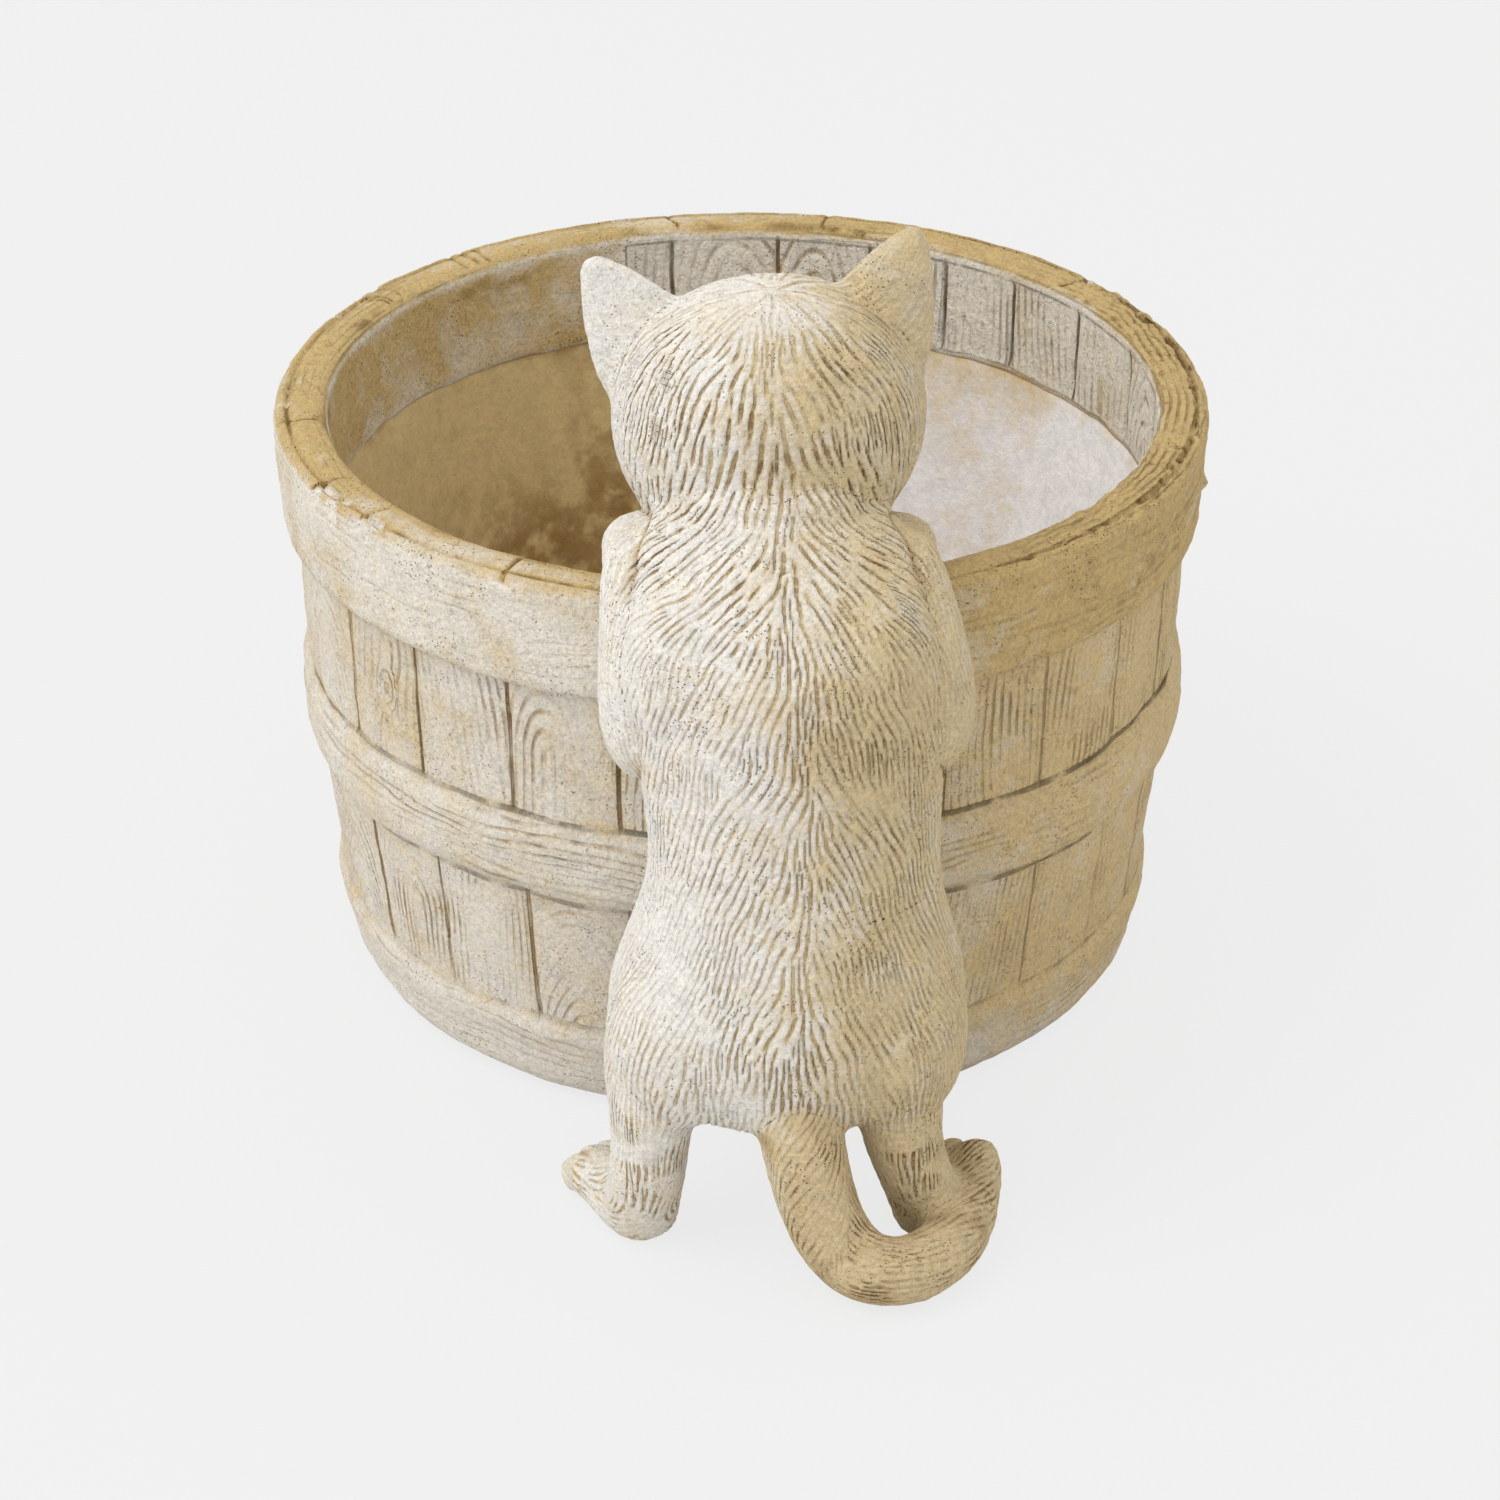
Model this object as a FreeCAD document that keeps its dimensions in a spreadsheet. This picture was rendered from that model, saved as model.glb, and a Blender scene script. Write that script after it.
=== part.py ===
import FreeCAD, Part
import math
import os

import Sketcher
from FreeCAD import Placement, Rotation, Vector

# Cast stone flower pot: a tub that copies a coopered half barrel, with a kitten that stands on its
# hind legs and looks over the rim. The tub is one casting. The kitten is cast in parts that are set
# face to face, bedded on the tub with mortar, and stiffened by two rods and a bent wire.
# Millimetres, +Z up, the kitten on -Y, origin on the ground in the middle of the drain hole.

doc = FreeCAD.newDocument("flower_pot")

# Driving dimensions: name, size, and what it measures
SIZES = [
    ("rim_radius", 140, "outer radius of the rim"),
    ("rim_width", 16.5, "width of the rim, from its outside to the mouth"),
    ("rim_round", 4, "rounding of the rim's two edges"),
    ("rim_lean", 1.5, "how far the top band leans in below the rim"),
    ("rim_step", 4, "how far the top band stands out from the staves below it"),
    ("upper_lean", 1.5, "how far the upper staves lean in"),
    ("waist_step", 1.5, "how much narrower the staves are below the middle band"),
    ("lower_lean", 5.5, "how far the lower staves lean in"),
    ("base_lean", 3.5, "how far the bottom band leans in"),
    ("base_round", 11, "rounding of the bottom edge"),
    ("bottom_band_height", 28, "height of the bottom band"),
    ("lower_stave_height", 49, "height of the staves below the middle band"),
    ("middle_band_height", 24, "height of the middle band"),
    ("upper_stave_height", 45, "height of the staves above the middle band"),
    ("top_band_height", 35, "height of the top band, up to the rim"),
    ("band_step", 2, "how far a band stands proud of the staves"),
    ("band_edge", 2.5, "height of the sloping edge of a band"),
    ("inner_band_height", 36, "height of the staves inside the mouth"),
    ("inner_lean", 1, "how far the mouth narrows down to the ledge"),
    ("ledge_step", 1.5, "step back below the staves inside the mouth"),
    ("ledge_drop", 3, "height of the sloping step below the ledge"),
    ("bowl_lean", 12, "how far the bowl narrows down to its round"),
    ("bowl_round", 34, "rounding from the bowl into the floor"),
    ("floor_thickness", 18, "thickness of the floor"),
    ("drain_radius", 8, "radius of the drain hole"),
    ("stave_count", 26, "staves round the tub"),
    ("seam_width", 1.8, "width of the seam between two staves"),
    ("seam_depth", 1.4, "depth of the seam between two staves"),
    ("seam_inset", 3, "distance from the end of a seam to the band"),
    ("seam_turn", 5.26, "from +X round to the first seam outside, in degrees"),
    ("inner_seam_turn", 2.77, "from +X round to the first seam inside, in degrees"),
    ("bedding", 1.5, "thickness of the mortar between tub and kitten"),
    ("overrun", 5, "how far cutting shapes run past what they cut"),
    ("kitten_shift", 12.5, "middle of the kitten, to the right of the tub's"),
    ("body_offset", 25, "from the rim's outside out to the middle of the body"),
    ("hips_width", 101, "width over the haunches"),
    ("waist_width", 79, "width at the waist"),
    ("chest_width", 84, "width over the ribs"),
    ("body_depth", 76, "from belly to back"),
    ("rump_height", 37, "from the ground to the underside of the rump"),
    ("neck_rise", 31, "how far the neck rises over the rim"),
    ("head_shift", -5, "middle of the head and paws, to the side of the body's"),
    ("head_width", 86, "width over the cheeks"),
    ("head_height", 79, "from chin to crown"),
    ("head_length", 86, "from the back of the skull to the nose"),
    ("head_rise", 40, "from the rim up to the middle of the head"),
    ("head_inset", 40, "from the rim's outside in to the middle of the head"),
    ("head_roll", -5.5, "sideways tilt of the head, in degrees"),
    ("ear_spread", 25.5, "from the head's middle out to the root of an ear"),
    ("ear_root", 8, "from the head's middle up to the root of an ear"),
    ("ear_height", 42, "from the root of an ear, inside the head, to its tip"),
    ("ear_width", 37, "width of an ear at its root"),
    ("ear_thickness", 15, "thickness of an ear at its root"),
    ("ear_lean", 25, "outward lean of an ear, in degrees"),
    ("ear_inset", 42, "from the rim's outside in to the ears"),
    ("arm_spread", 34, "from the middle out to a forepaw"),
    ("elbow_spread", 38, "from the middle out to an elbow"),
    ("elbow_offset", 12.5, "from the rim's outside out to the elbow"),
    ("elbow_drop", 45, "from the rim down to the underside of the elbow"),
    ("arm_rise", 20, "from the rim up to the top of the wrist"),
    ("arm_width", 26, "width of a foreleg"),
    ("arm_depth", 32, "depth of a foreleg, from front to back"),
    ("paw_width", 23, "width of a forepaw"),
    ("paw_height", 20, "thickness of a forepaw"),
    ("paw_length", 36, "length of a forepaw over the rim"),
    ("paw_setback", 2, "from the rim's outside out to where the forepaw begins"),
    ("thigh_height", 72, "from the ground to the top of a hind leg, inside the haunch"),
    ("leg_spread", 34, "from the middle out to a hind leg above the ankle"),
    ("leg_shift", -3, "middle of the shins, to the side of the body's"),
    ("heel_spread", 41, "from the middle out to a heel"),
    ("heel_offset", 37, "from the rim's outside out to the middle of a heel"),
    ("leg_width", 22, "width of a hind leg above the ankle"),
    ("leg_depth", 24, "depth of a hind leg above the ankle"),
    ("foot_width", 23, "width of a hind foot"),
    ("foot_height", 18, "height of a hind foot"),
    ("foot_length", 39.5, "length of a hind foot"),
    ("foot_turn", 27, "outward turn of a hind foot, in degrees"),
    ("tail_width", 24, "thickness of the tail at its root"),
    ("tail_rise", 66, "height of the root of the tail, inside the rump"),
    ("tail_sweep", 54.5, "from the middle out to the far side of the tail's curl"),
    ("tail_reach", 70.5, "from the rim's outside out to the bend of the tail"),
    ("lock_width", 5, "width of a gouge stroke between two locks of the coat"),
    ("lock_depth", 2.2, "depth of a gouge stroke in the middle of its length"),
    ("rod_radius", 2, "radius of a leg rod"),
    ("rod_cover", 6, "stone under the foot of a leg rod"),
    ("rod_length", 86, "length of a leg rod"),
    ("rod_spread", 36.5, "from the middle out to a leg rod"),
    ("rod_offset", 35, "from the rim's outside out to a leg rod"),
    ("wire_radius", 1.5, "radius of the tail wire"),
]

sheet = doc.addObject("Spreadsheet::Sheet", "Sizes")
for row, (alias, value, meaning) in enumerate(SIZES, start=1):
    sheet.set(f"A{row}", meaning)
    sheet.set(f"B{row}", str(value))
    sheet.setAlias(f"B{row}", alias)
doc.recompute()

# Heights of the bands, as formulas on the sheet
LOWER_STAVES_TOP = "(Sizes.bottom_band_height + Sizes.lower_stave_height)"
MIDDLE_BAND_TOP = f"({LOWER_STAVES_TOP} + Sizes.middle_band_height)"
UPPER_STAVES_TOP = f"({MIDDLE_BAND_TOP} + Sizes.upper_stave_height)"
TUB_HEIGHT = f"({UPPER_STAVES_TOP} + Sizes.top_band_height)"
LEDGE_HEIGHT = f"({TUB_HEIGHT} - Sizes.inner_band_height)"

# Radii of the staves and the bands, as formulas on the sheet
TOP_BAND_FOOT = "(Sizes.rim_radius - Sizes.rim_lean)"
UPPER_STAVES_HEAD = f"({TOP_BAND_FOOT} - Sizes.rim_step)"
UPPER_STAVES_FOOT = f"({UPPER_STAVES_HEAD} - Sizes.upper_lean)"
LOWER_STAVES_HEAD = f"({UPPER_STAVES_FOOT} - Sizes.waist_step)"
LOWER_STAVES_FOOT = f"({LOWER_STAVES_HEAD} - Sizes.lower_lean)"
BASE_RADIUS = f"({LOWER_STAVES_FOOT} + Sizes.band_step - Sizes.base_lean)"
MOUTH = "(Sizes.rim_radius - Sizes.rim_width)"
LEDGE = f"({MOUTH} - Sizes.inner_lean)"


# Flat facets round each kind of skin; for the front of the tub, on each side of the middle
FACETS = {"stave": 3, "front": 8, "trunk": 28, "head": 24, "limb": 18, "small": 16, "wire": 8}


def size(formula):
    """The value of a formula on the sheet, such as a driving dimension's name."""
    text = formula if "Sizes." in formula else f"Sizes.{formula}"
    return float(sheet.evalExpression(text))


def rounding(corner, radius, signs, turns):
    """Points of a rounded corner as (radius, height) sizes, from one straight to the next."""
    middle = (corner[0] - signs[0] * radius, corner[1] - signs[1] * radius)
    return [(middle[0] + signs[0] * radius * math.cos(math.radians(turn)),
             middle[1] + signs[1] * radius * math.sin(math.radians(turn))) for turn in turns]


def tub_outline(margin):
    """Points of the tub's half section from the foot up, over the rim and down to the floor.

    They are (radius, height) sizes, grown by a margin everywhere but at the foot and the floor.
    """
    edge, step, rim_round = size("band_edge"), size("band_step"), size("rim_round")
    top = size(TUB_HEIGHT) + margin
    bowl_foot = size(LEDGE) + size("ledge_step") - size("bowl_lean") - margin
    outline = rounding((size(BASE_RADIUS) + margin, 0), size("base_round"), (1, -1), (90, 60, 30, 0))
    outline += [
        (size(LOWER_STAVES_FOOT) + step + margin, size("bottom_band_height") - edge),
        (size(LOWER_STAVES_FOOT) + margin, size("bottom_band_height")),
        (size(LOWER_STAVES_HEAD) + margin, size(LOWER_STAVES_TOP)),
        (size(UPPER_STAVES_FOOT) + step + margin, size(LOWER_STAVES_TOP) + edge),
        (size(UPPER_STAVES_FOOT) + step + margin, size(MIDDLE_BAND_TOP) - edge),
        (size(UPPER_STAVES_FOOT) + margin, size(MIDDLE_BAND_TOP)),
        (size(UPPER_STAVES_HEAD) + margin, size(UPPER_STAVES_TOP)),
        (size(TOP_BAND_FOOT) + margin, size(UPPER_STAVES_TOP) + edge),
    ]
    outline += rounding((size("rim_radius") + margin, top), rim_round, (1, 1), (0, 45, 90))
    outline += rounding((size(MOUTH) - margin, top), rim_round, (-1, 1), (90, 45, 0))
    outline += [
        (size(LEDGE) - margin, size(LEDGE_HEIGHT)),
        (size(LEDGE) + size("ledge_step") - margin, size(LEDGE_HEIGHT) - size("ledge_drop")),
    ]
    bowl_corner = (bowl_foot, size("floor_thickness"))
    outline += rounding(bowl_corner, size("bowl_round"), (1, -1), (0, 22.5, 45, 67.5, 90))
    return outline


def seam(foot_radius, foot_height, head_radius, head_height, side):
    """Corners of one seam's section, let into a wall from the outside (side 1) or the inside (side -1)."""
    foot = f"({foot_height} + Sizes.seam_inset)"
    head = f"({head_height} - Sizes.seam_inset)"
    rise = f"({head_height} - {foot_height})"

    def wall(height):
        return f"({foot_radius} + ({head_radius} - {foot_radius}) * ({height} - {foot_height}) / {rise})"

    return [
        (f"{wall(foot)} - {side} * Sizes.seam_depth", foot),
        (f"{wall(foot)} + {side} * Sizes.overrun", foot),
        (f"{wall(head)} + {side} * Sizes.overrun", head),
        (f"{wall(head)} - {side} * Sizes.seam_depth", head),
    ]


def blade(name, outline):
    """A blade as wide as a seam, from a sketch whose corners are held at their formulas."""
    sketch = doc.addObject("Sketcher::SketchObject", f"{name}_section")
    sketch.Placement = Placement(Vector(), Rotation(Vector(1, 0, 0), 90))
    corners = [Vector(size(radius), size(height)) for radius, height in outline]
    for start, end in zip(corners, corners[1:] + corners[:1]):
        sketch.addGeometry(Part.LineSegment(start, end))
    for line, (radius, height) in enumerate(outline):
        sketch.addConstraint(Sketcher.Constraint("Coincident", line, 2, (line + 1) % len(outline), 1))
        across = sketch.addConstraint(Sketcher.Constraint("DistanceX", -1, 1, line, 1, corners[line].x))
        sketch.setExpression(f"Constraints[{across}]", radius)
        up = sketch.addConstraint(Sketcher.Constraint("DistanceY", -1, 1, line, 1, corners[line].y))
        sketch.setExpression(f"Constraints[{up}]", height)
    solid = doc.addObject("Part::Extrusion", name)
    solid.Base = sketch
    solid.DirMode = "Normal"
    solid.Solid = True
    solid.Symmetric = True
    solid.setExpression("LengthFwd", "Sizes.seam_width")
    doc.recompute()
    return solid


def ring_points(middle, half_width, half_depth, turn, sides):
    """Points round an oval in its own XY plane, turned and moved to its place."""
    place = Placement(middle, turn)
    corners = []
    for index in range(sides):
        angle = 2 * math.pi * index / sides
        corners.append(place.multVec(Vector(half_width * math.cos(angle), half_depth * math.sin(angle), 0)))
    return corners


def flat_face(corners):
    """A flat face with those corners."""
    return Part.Face(Part.makePolygon([*corners, corners[0]]))


def facets(corners):
    """One flat face through four corners, or two where they don't lie in one plane."""
    first, second, third, fourth = corners
    normal = (second - first).cross(third - first)
    lift = abs(normal.dot(fourth - first))
    if lift < 1e-6 * normal.Length * (fourth - first).Length:
        return [flat_face(corners)]
    return [flat_face([first, second, third]), flat_face([first, third, fourth])]


def skin(rings):
    """A closed solid with flat facets through rings of equally many points."""
    faces = [flat_face(rings[0]), flat_face(rings[-1])]
    for low, high in zip(rings, rings[1:]):
        for index in range(len(low)):
            following = (index + 1) % len(low)
            faces += facets([low[index], low[following], high[following], high[index]])
    solid = Part.Solid(Part.makeShell(faces))
    if solid.Volume < 0:
        solid.reverse()
    return solid


def lathe(outline):
    """A turned solid with a few flat facets to a stave, from its section's points."""
    sides = FACETS["stave"] * int(size("stave_count"))
    rings = []
    for radius, height in outline:
        rings.append(ring_points(Vector(0, 0, height), radius, radius, Rotation(), sides))
    return skin(rings)


def lathe_front(outline):
    """The part of the same turned solid that the kitten leans on, with the same facets."""
    sides = FACETS["stave"] * int(size("stave_count"))
    middle, reach = 3 * sides // 4, FACETS["front"]
    rings = []
    for index in range(middle - reach, middle + reach + 2):
        angle = 2 * math.pi * index / sides
        rings.append([Vector(radius * math.cos(angle), radius * math.sin(angle), height)
                      for radius, height in outline])
    return skin(rings)


def feature(name, shape):
    """A document object that holds a shape worked out from the sheet."""
    held = doc.addObject("Part::Feature", name)
    held.Shape = shape
    return held


def make_tub():
    """The half barrel: turned bands and bowl, seams between its staves outside and inside, and a drain hole."""
    seam_step = 360 / size("stave_count")
    inner_top = f"({TUB_HEIGHT} - Sizes.rim_round)"
    upper = seam(UPPER_STAVES_FOOT, MIDDLE_BAND_TOP, UPPER_STAVES_HEAD, UPPER_STAVES_TOP, 1)
    lower = seam(LOWER_STAVES_FOOT, "Sizes.bottom_band_height", LOWER_STAVES_HEAD, LOWER_STAVES_TOP, 1)
    inner = seam(LEDGE, LEDGE_HEIGHT, MOUTH, inner_top, -1)
    rows = [
        ("upper_blade", upper, "seam_turn"),
        ("lower_blade", lower, "seam_turn"),
        ("inner_blade", inner, "inner_seam_turn"),
    ]
    blades = []
    for name, section, start in rows:
        solid = blade(name, section)
        for index in range(int(size("stave_count"))):
            turned = solid.Shape.copy()
            turned.rotate(Vector(), Vector(0, 0, 1), size(start) + seam_step * index)
            blades.append(turned)
    drain = doc.addObject("Part::Cylinder", "drain_hole")
    drain.setExpression("Radius", "Sizes.drain_radius")
    drain.setExpression("Height", "Sizes.floor_thickness + 2 * Sizes.overrun")
    drain.setExpression("Placement.Base.z", "-Sizes.overrun")
    turned_form = feature("turned_form", lathe(tub_outline(0)))
    return cut_by("tub", turned_form, [feature("seams", Part.makeCompound(blades)), drain])


def fused(name, parts):
    """One solid of several that run into each other."""
    joined = doc.addObject("Part::MultiFuse", name)
    joined.Shapes = parts
    joined.Refine = True
    return joined


def cut_by(name, base, tools):
    """The base, cut by its larger neighbours so that it meets them face to face."""
    for index, tool in enumerate(tools):
        trimmed = doc.addObject("Part::Cut", f"{name}_trim_{index}")
        trimmed.Base = base
        trimmed.Tool = tool
        trimmed.Refine = index == len(tools) - 1
        base = trimmed
    return base


def body_rings():
    """Rings of the kitten's trunk from rump to neck, leaning on the tub and over the rim."""
    # Rise, side and forward shift, width and depth at each ring; widths go by hips, waist and chest
    ring_shares = [
        (0.000, 0.00, -0.01, "hips_width", 0.36, 0.36),
        (0.028, 0.00, -0.01, "hips_width", 0.66, 0.64),
        (0.075, 0.00, 0.00, "hips_width", 0.87, 0.86),
        (0.145, 0.00, 0.00, "hips_width", 0.98, 0.97),
        (0.220, 0.00, 0.00, "hips_width", 1.00, 1.00),
        (0.305, 0.01, 0.02, "hips_width", 0.91, 0.96),
        (0.395, 0.02, 0.05, "waist_width", 1.00, 0.91),
        (0.490, 0.02, 0.06, "waist_width", 1.00, 0.87),
        (0.590, 0.01, 0.08, "chest_width", 0.97, 0.84),
        (0.710, 0.00, 0.09, "chest_width", 1.00, 0.83),
        (0.810, -0.02, 0.12, "chest_width", 0.99, 0.82),
        (0.885, -0.03, 0.22, "chest_width", 0.93, 0.76),
        (0.945, -0.04, 0.37, "chest_width", 0.83, 0.66),
        (1.000, -0.05, 0.53, "chest_width", 0.66, 0.46),
    ]
    foot = size("rump_height")
    height = size(TUB_HEIGHT) + size("neck_rise") - foot
    rings = []
    for rise, side, forward, width_name, width, depth in ring_shares:
        middle = Vector(
            size("kitten_shift") + side * size("hips_width"),
            forward * size("body_depth") - size("rim_radius") - size("body_offset"),
            foot + rise * height,
        )
        rings.append(ring_points(middle, width * size(width_name) / 2,
                                 depth * size("body_depth") / 2, Rotation(), FACETS["trunk"]))
    return rings


def place(rings, row, column):
    """A point on a skin, by its place between rings and between the points of a ring."""
    low, column = int(row), column % len(rings[0])
    first = int(column)
    second = (first + 1) % len(rings[0])
    part, share = row - low, column - first
    below = rings[low][first] * (1 - share) + rings[low][second] * share
    above = rings[low + 1][first] * (1 - share) + rings[low + 1][second] * share
    return below * (1 - part) + above * part


def lock_cut(rings, start, end):
    """A gouge stroke over a skin from start to end, deepest and widest halfway."""
    row, column = (start[0] + end[0]) / 2, (start[1] + end[1]) / 2
    middle = place(rings, row, column)
    upward = place(rings, row + 0.2, column) - place(rings, row - 0.2, column)
    across = place(rings, row, column + 0.2) - place(rings, row, column - 0.2)
    outward = across.cross(upward).normalize()
    first, last = place(rings, *start), place(rings, *end)
    side = outward.cross(last - first).normalize() * (size("lock_width") / 2)
    edge = [first, middle + side, last, middle - side]
    faces = []
    for tip in (middle - outward * size("lock_depth"), middle + outward * size("overrun")):
        faces += [flat_face([edge[index - 1], edge[index], tip]) for index in range(len(edge))]
    stroke = Part.Solid(Part.makeShell(faces))
    if stroke.Volume < 0:
        stroke.reverse()
    return stroke


def locks(name, rings, middle, strokes):
    """The strokes that part the main locks, on both sides of the coat's middle line."""
    cuts = []
    for start_row, start_out, end_row, end_out in strokes:
        for side in ((-1, 1) if start_out else (1,)):
            start = (start_row, middle + side * start_out)
            end = (end_row, middle + side * end_out)
            cuts.append(lock_cut(rings, start, end))
    return feature(name, Part.makeCompound(cuts))


def head_middle():
    """The middle of the kitten's head."""
    return Vector(
        size("kitten_shift") + size("head_shift"),
        size("head_inset") - size("rim_radius"),
        size(TUB_HEIGHT) + size("head_rise"),
    )


def rolled(point):
    """A point of the head after the head's sideways tilt."""
    middle = head_middle()
    return middle + Rotation(Vector(0, 1, 0), size("head_roll")).multVec(point - middle)


def head_rings():
    """Rings of the head from the back of the skull to the nose, looking into the pot."""
    # Run from the back, width, height and drop at each ring
    ring_shares = [
        (0.00, 0.26, 0.26, 0.00),
        (0.04, 0.52, 0.52, 0.00),
        (0.13, 0.79, 0.79, 0.00),
        (0.28, 0.95, 0.96, 0.00),
        (0.45, 1.00, 1.00, 0.00),
        (0.60, 0.97, 0.95, 0.02),
        (0.72, 0.84, 0.82, 0.05),
        (0.81, 0.62, 0.60, 0.12),
        (0.91, 0.44, 0.40, 0.18),
        (0.98, 0.32, 0.28, 0.18),
        (1.00, 0.18, 0.15, 0.18),
    ]
    turn = Rotation(Vector(0, 1, 0), size("head_roll")).multiply(Rotation(Vector(1, 0, 0), 90))
    rings = []
    for run, width, height, drop in ring_shares:
        middle = head_middle() + Vector(0, (run - 0.5) * size("head_length"), -drop * size("head_height"))
        rings.append(ring_points(rolled(middle), width * size("head_width") / 2,
                                 height * size("head_height") / 2, turn, FACETS["head"]))
    return rings


def ear_skin(side, hollow):
    """An ear, or the hollow in its front, from its root inside the head to the tip."""
    # Run from the root, width and thickness at each ring
    ring_shares = [
        (0.00, 1.00, 1.00),
        (0.35, 0.86, 0.85),
        (0.60, 0.64, 0.62),
        (0.82, 0.40, 0.42),
        (1.00, 0.10, 0.18),
    ]
    length = size("ear_height")
    scale_share, shift_share, length_share = (0.72, 0.42, 0.86) if hollow else (1.0, 0.0, 1.0)
    lean = size("ear_lean") * side
    turn = Rotation(Vector(0, 1, 0), size("head_roll") + lean)
    middle = head_middle()
    root = Vector(middle.x + side * size("ear_spread"), size("ear_inset") - size("rim_radius"),
                  middle.z + size("ear_root"))
    axis = Rotation(Vector(0, 1, 0), lean).multVec(Vector(0, 0, 1))
    rings = []
    for run, width, thickness in ring_shares:
        forward = Vector(0, shift_share * size("ear_thickness"), 0)
        centre = rolled(root + axis * (run * length * length_share) + forward)
        rings.append(ring_points(centre, scale_share * width * size("ear_width") / 2,
                                 scale_share * thickness * size("ear_thickness") / 2, turn, FACETS["small"]))
    return skin(rings)


def arm_skin(side):
    """A bent foreleg from the elbow up to the wrist over the rim."""
    # Rise, outward and forward shift, width and depth at each ring
    ring_shares = [
        (0.000, 0.70, 0.08, 0.38, 0.42),
        (0.045, 0.80, 0.05, 0.69, 0.69),
        (0.160, 0.95, 0.00, 0.92, 0.92),
        (0.300, 1.00, 0.00, 1.00, 1.00),
        (0.460, 0.90, 0.00, 1.00, 1.00),
        (0.630, 0.70, 0.11, 0.96, 1.00),
        (0.800, 0.30, 0.30, 0.92, 0.94),
        (0.930, 0.10, 0.48, 0.81, 0.75),
        (1.000, 0.00, 0.58, 0.54, 0.50),
    ]
    foot = size(TUB_HEIGHT) - size("elbow_drop")
    height = size("elbow_drop") + size("arm_rise")
    rings = []
    for rise, out, forward, width, depth in ring_shares:
        spread = size("arm_spread") + out * (size("elbow_spread") - size("arm_spread"))
        middle = Vector(
            size("kitten_shift") + (1 - out) * size("head_shift") + side * spread,
            forward * size("arm_depth") - size("rim_radius") - size("elbow_offset"),
            foot + rise * height,
        )
        rings.append(ring_points(middle, width * size("arm_width") / 2,
                                 depth * size("arm_depth") / 2, Rotation(), FACETS["limb"]))
    return skin(rings)


def paw_skin(side):
    """A forepaw that lies over the rim with its toes inside the mouth."""
    # Run from the wrist, width, height and drop at each ring
    ring_shares = [
        (0.00, 0.85, 0.85, 0.00),
        (0.12, 0.97, 0.97, 0.00),
        (0.40, 1.00, 1.00, 0.00),
        (0.65, 1.05, 0.95, 0.06),
        (0.85, 0.95, 0.80, 0.20),
        (0.96, 0.68, 0.52, 0.34),
        (1.00, 0.38, 0.28, 0.40),
    ]
    turn = Rotation(Vector(1, 0, 0), 90)
    rings = []
    for run, width, height, drop in ring_shares:
        middle = Vector(
            size("kitten_shift") + size("head_shift") + side * size("arm_spread"),
            run * size("paw_length") - size("rim_radius") - size("paw_setback"),
            size(TUB_HEIGHT) + (0.45 - drop) * size("paw_height"),
        )
        rings.append(ring_points(middle, width * size("paw_width") / 2,
                                 height * size("paw_height") / 2, turn, FACETS["small"]))
    return skin(rings)


def leg_skin(side):
    """A hind leg from the ground at the heel up into the haunch."""
    # Rise, outward and backward shift, width and depth at each ring
    ring_shares = [
        (0.00, 1.00, 0.90, 0.86, 0.62),
        (0.08, 1.00, 0.90, 0.96, 0.78),
        (0.19, 0.80, 1.00, 0.98, 0.95),
        (0.33, 0.40, 1.15, 0.96, 0.96),
        (0.47, 0.15, 1.08, 1.00, 1.10),
        (0.61, 0.00, 0.83, 1.12, 1.42),
        (0.78, -0.10, 0.42, 1.25, 1.85),
        (1.00, -0.20, 0.00, 1.25, 1.95),
    ]
    rings = []
    for rise, out, back, width, depth in ring_shares:
        spread = size("leg_spread") + out * (size("heel_spread") - size("leg_spread"))
        offset = size("body_offset") + back * (size("heel_offset") - size("body_offset"))
        middle = Vector(
            size("kitten_shift") + (1 - out) * size("leg_shift") + side * spread,
            -size("rim_radius") - offset,
            rise * size("thigh_height"),
        )
        rings.append(ring_points(middle, width * size("leg_width") / 2,
                                 depth * size("leg_depth") / 2, Rotation(), FACETS["limb"]))
    return skin(rings)


def foot_skin(side):
    """A hind foot, turned outward, that dips a little below the ground to be cut flat."""
    # Run from the back of the heel, width and height at each ring
    ring_shares = [
        (0.00, 0.35, 0.40),
        (0.06, 0.72, 0.75),
        (0.20, 0.98, 1.00),
        (0.45, 0.92, 0.95),
        (0.70, 1.05, 0.90),
        (0.86, 1.00, 0.76),
        (0.96, 0.72, 0.52),
        (1.00, 0.40, 0.28),
    ]
    heading = Rotation(Vector(0, 0, 1), -side * size("foot_turn"))
    turn = heading.multiply(Rotation(Vector(1, 0, 0), 90))
    heel = Vector(
        size("kitten_shift") + side * size("heel_spread"),
        -size("rim_radius") - size("heel_offset"),
        0,
    )
    back_share, sole_share = 0.14, 0.90
    rings = []
    for run, width, height in ring_shares:
        half_height = height * size("foot_height") / 2
        ahead = heading.multVec(Vector(0, (run - back_share) * size("foot_length"), 0))
        middle = heel + ahead + Vector(0, 0, sole_share * half_height)
        rings.append(ring_points(middle, width * size("foot_width") / 2, half_height, turn, FACETS["small"]))
    return skin(rings)


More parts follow.
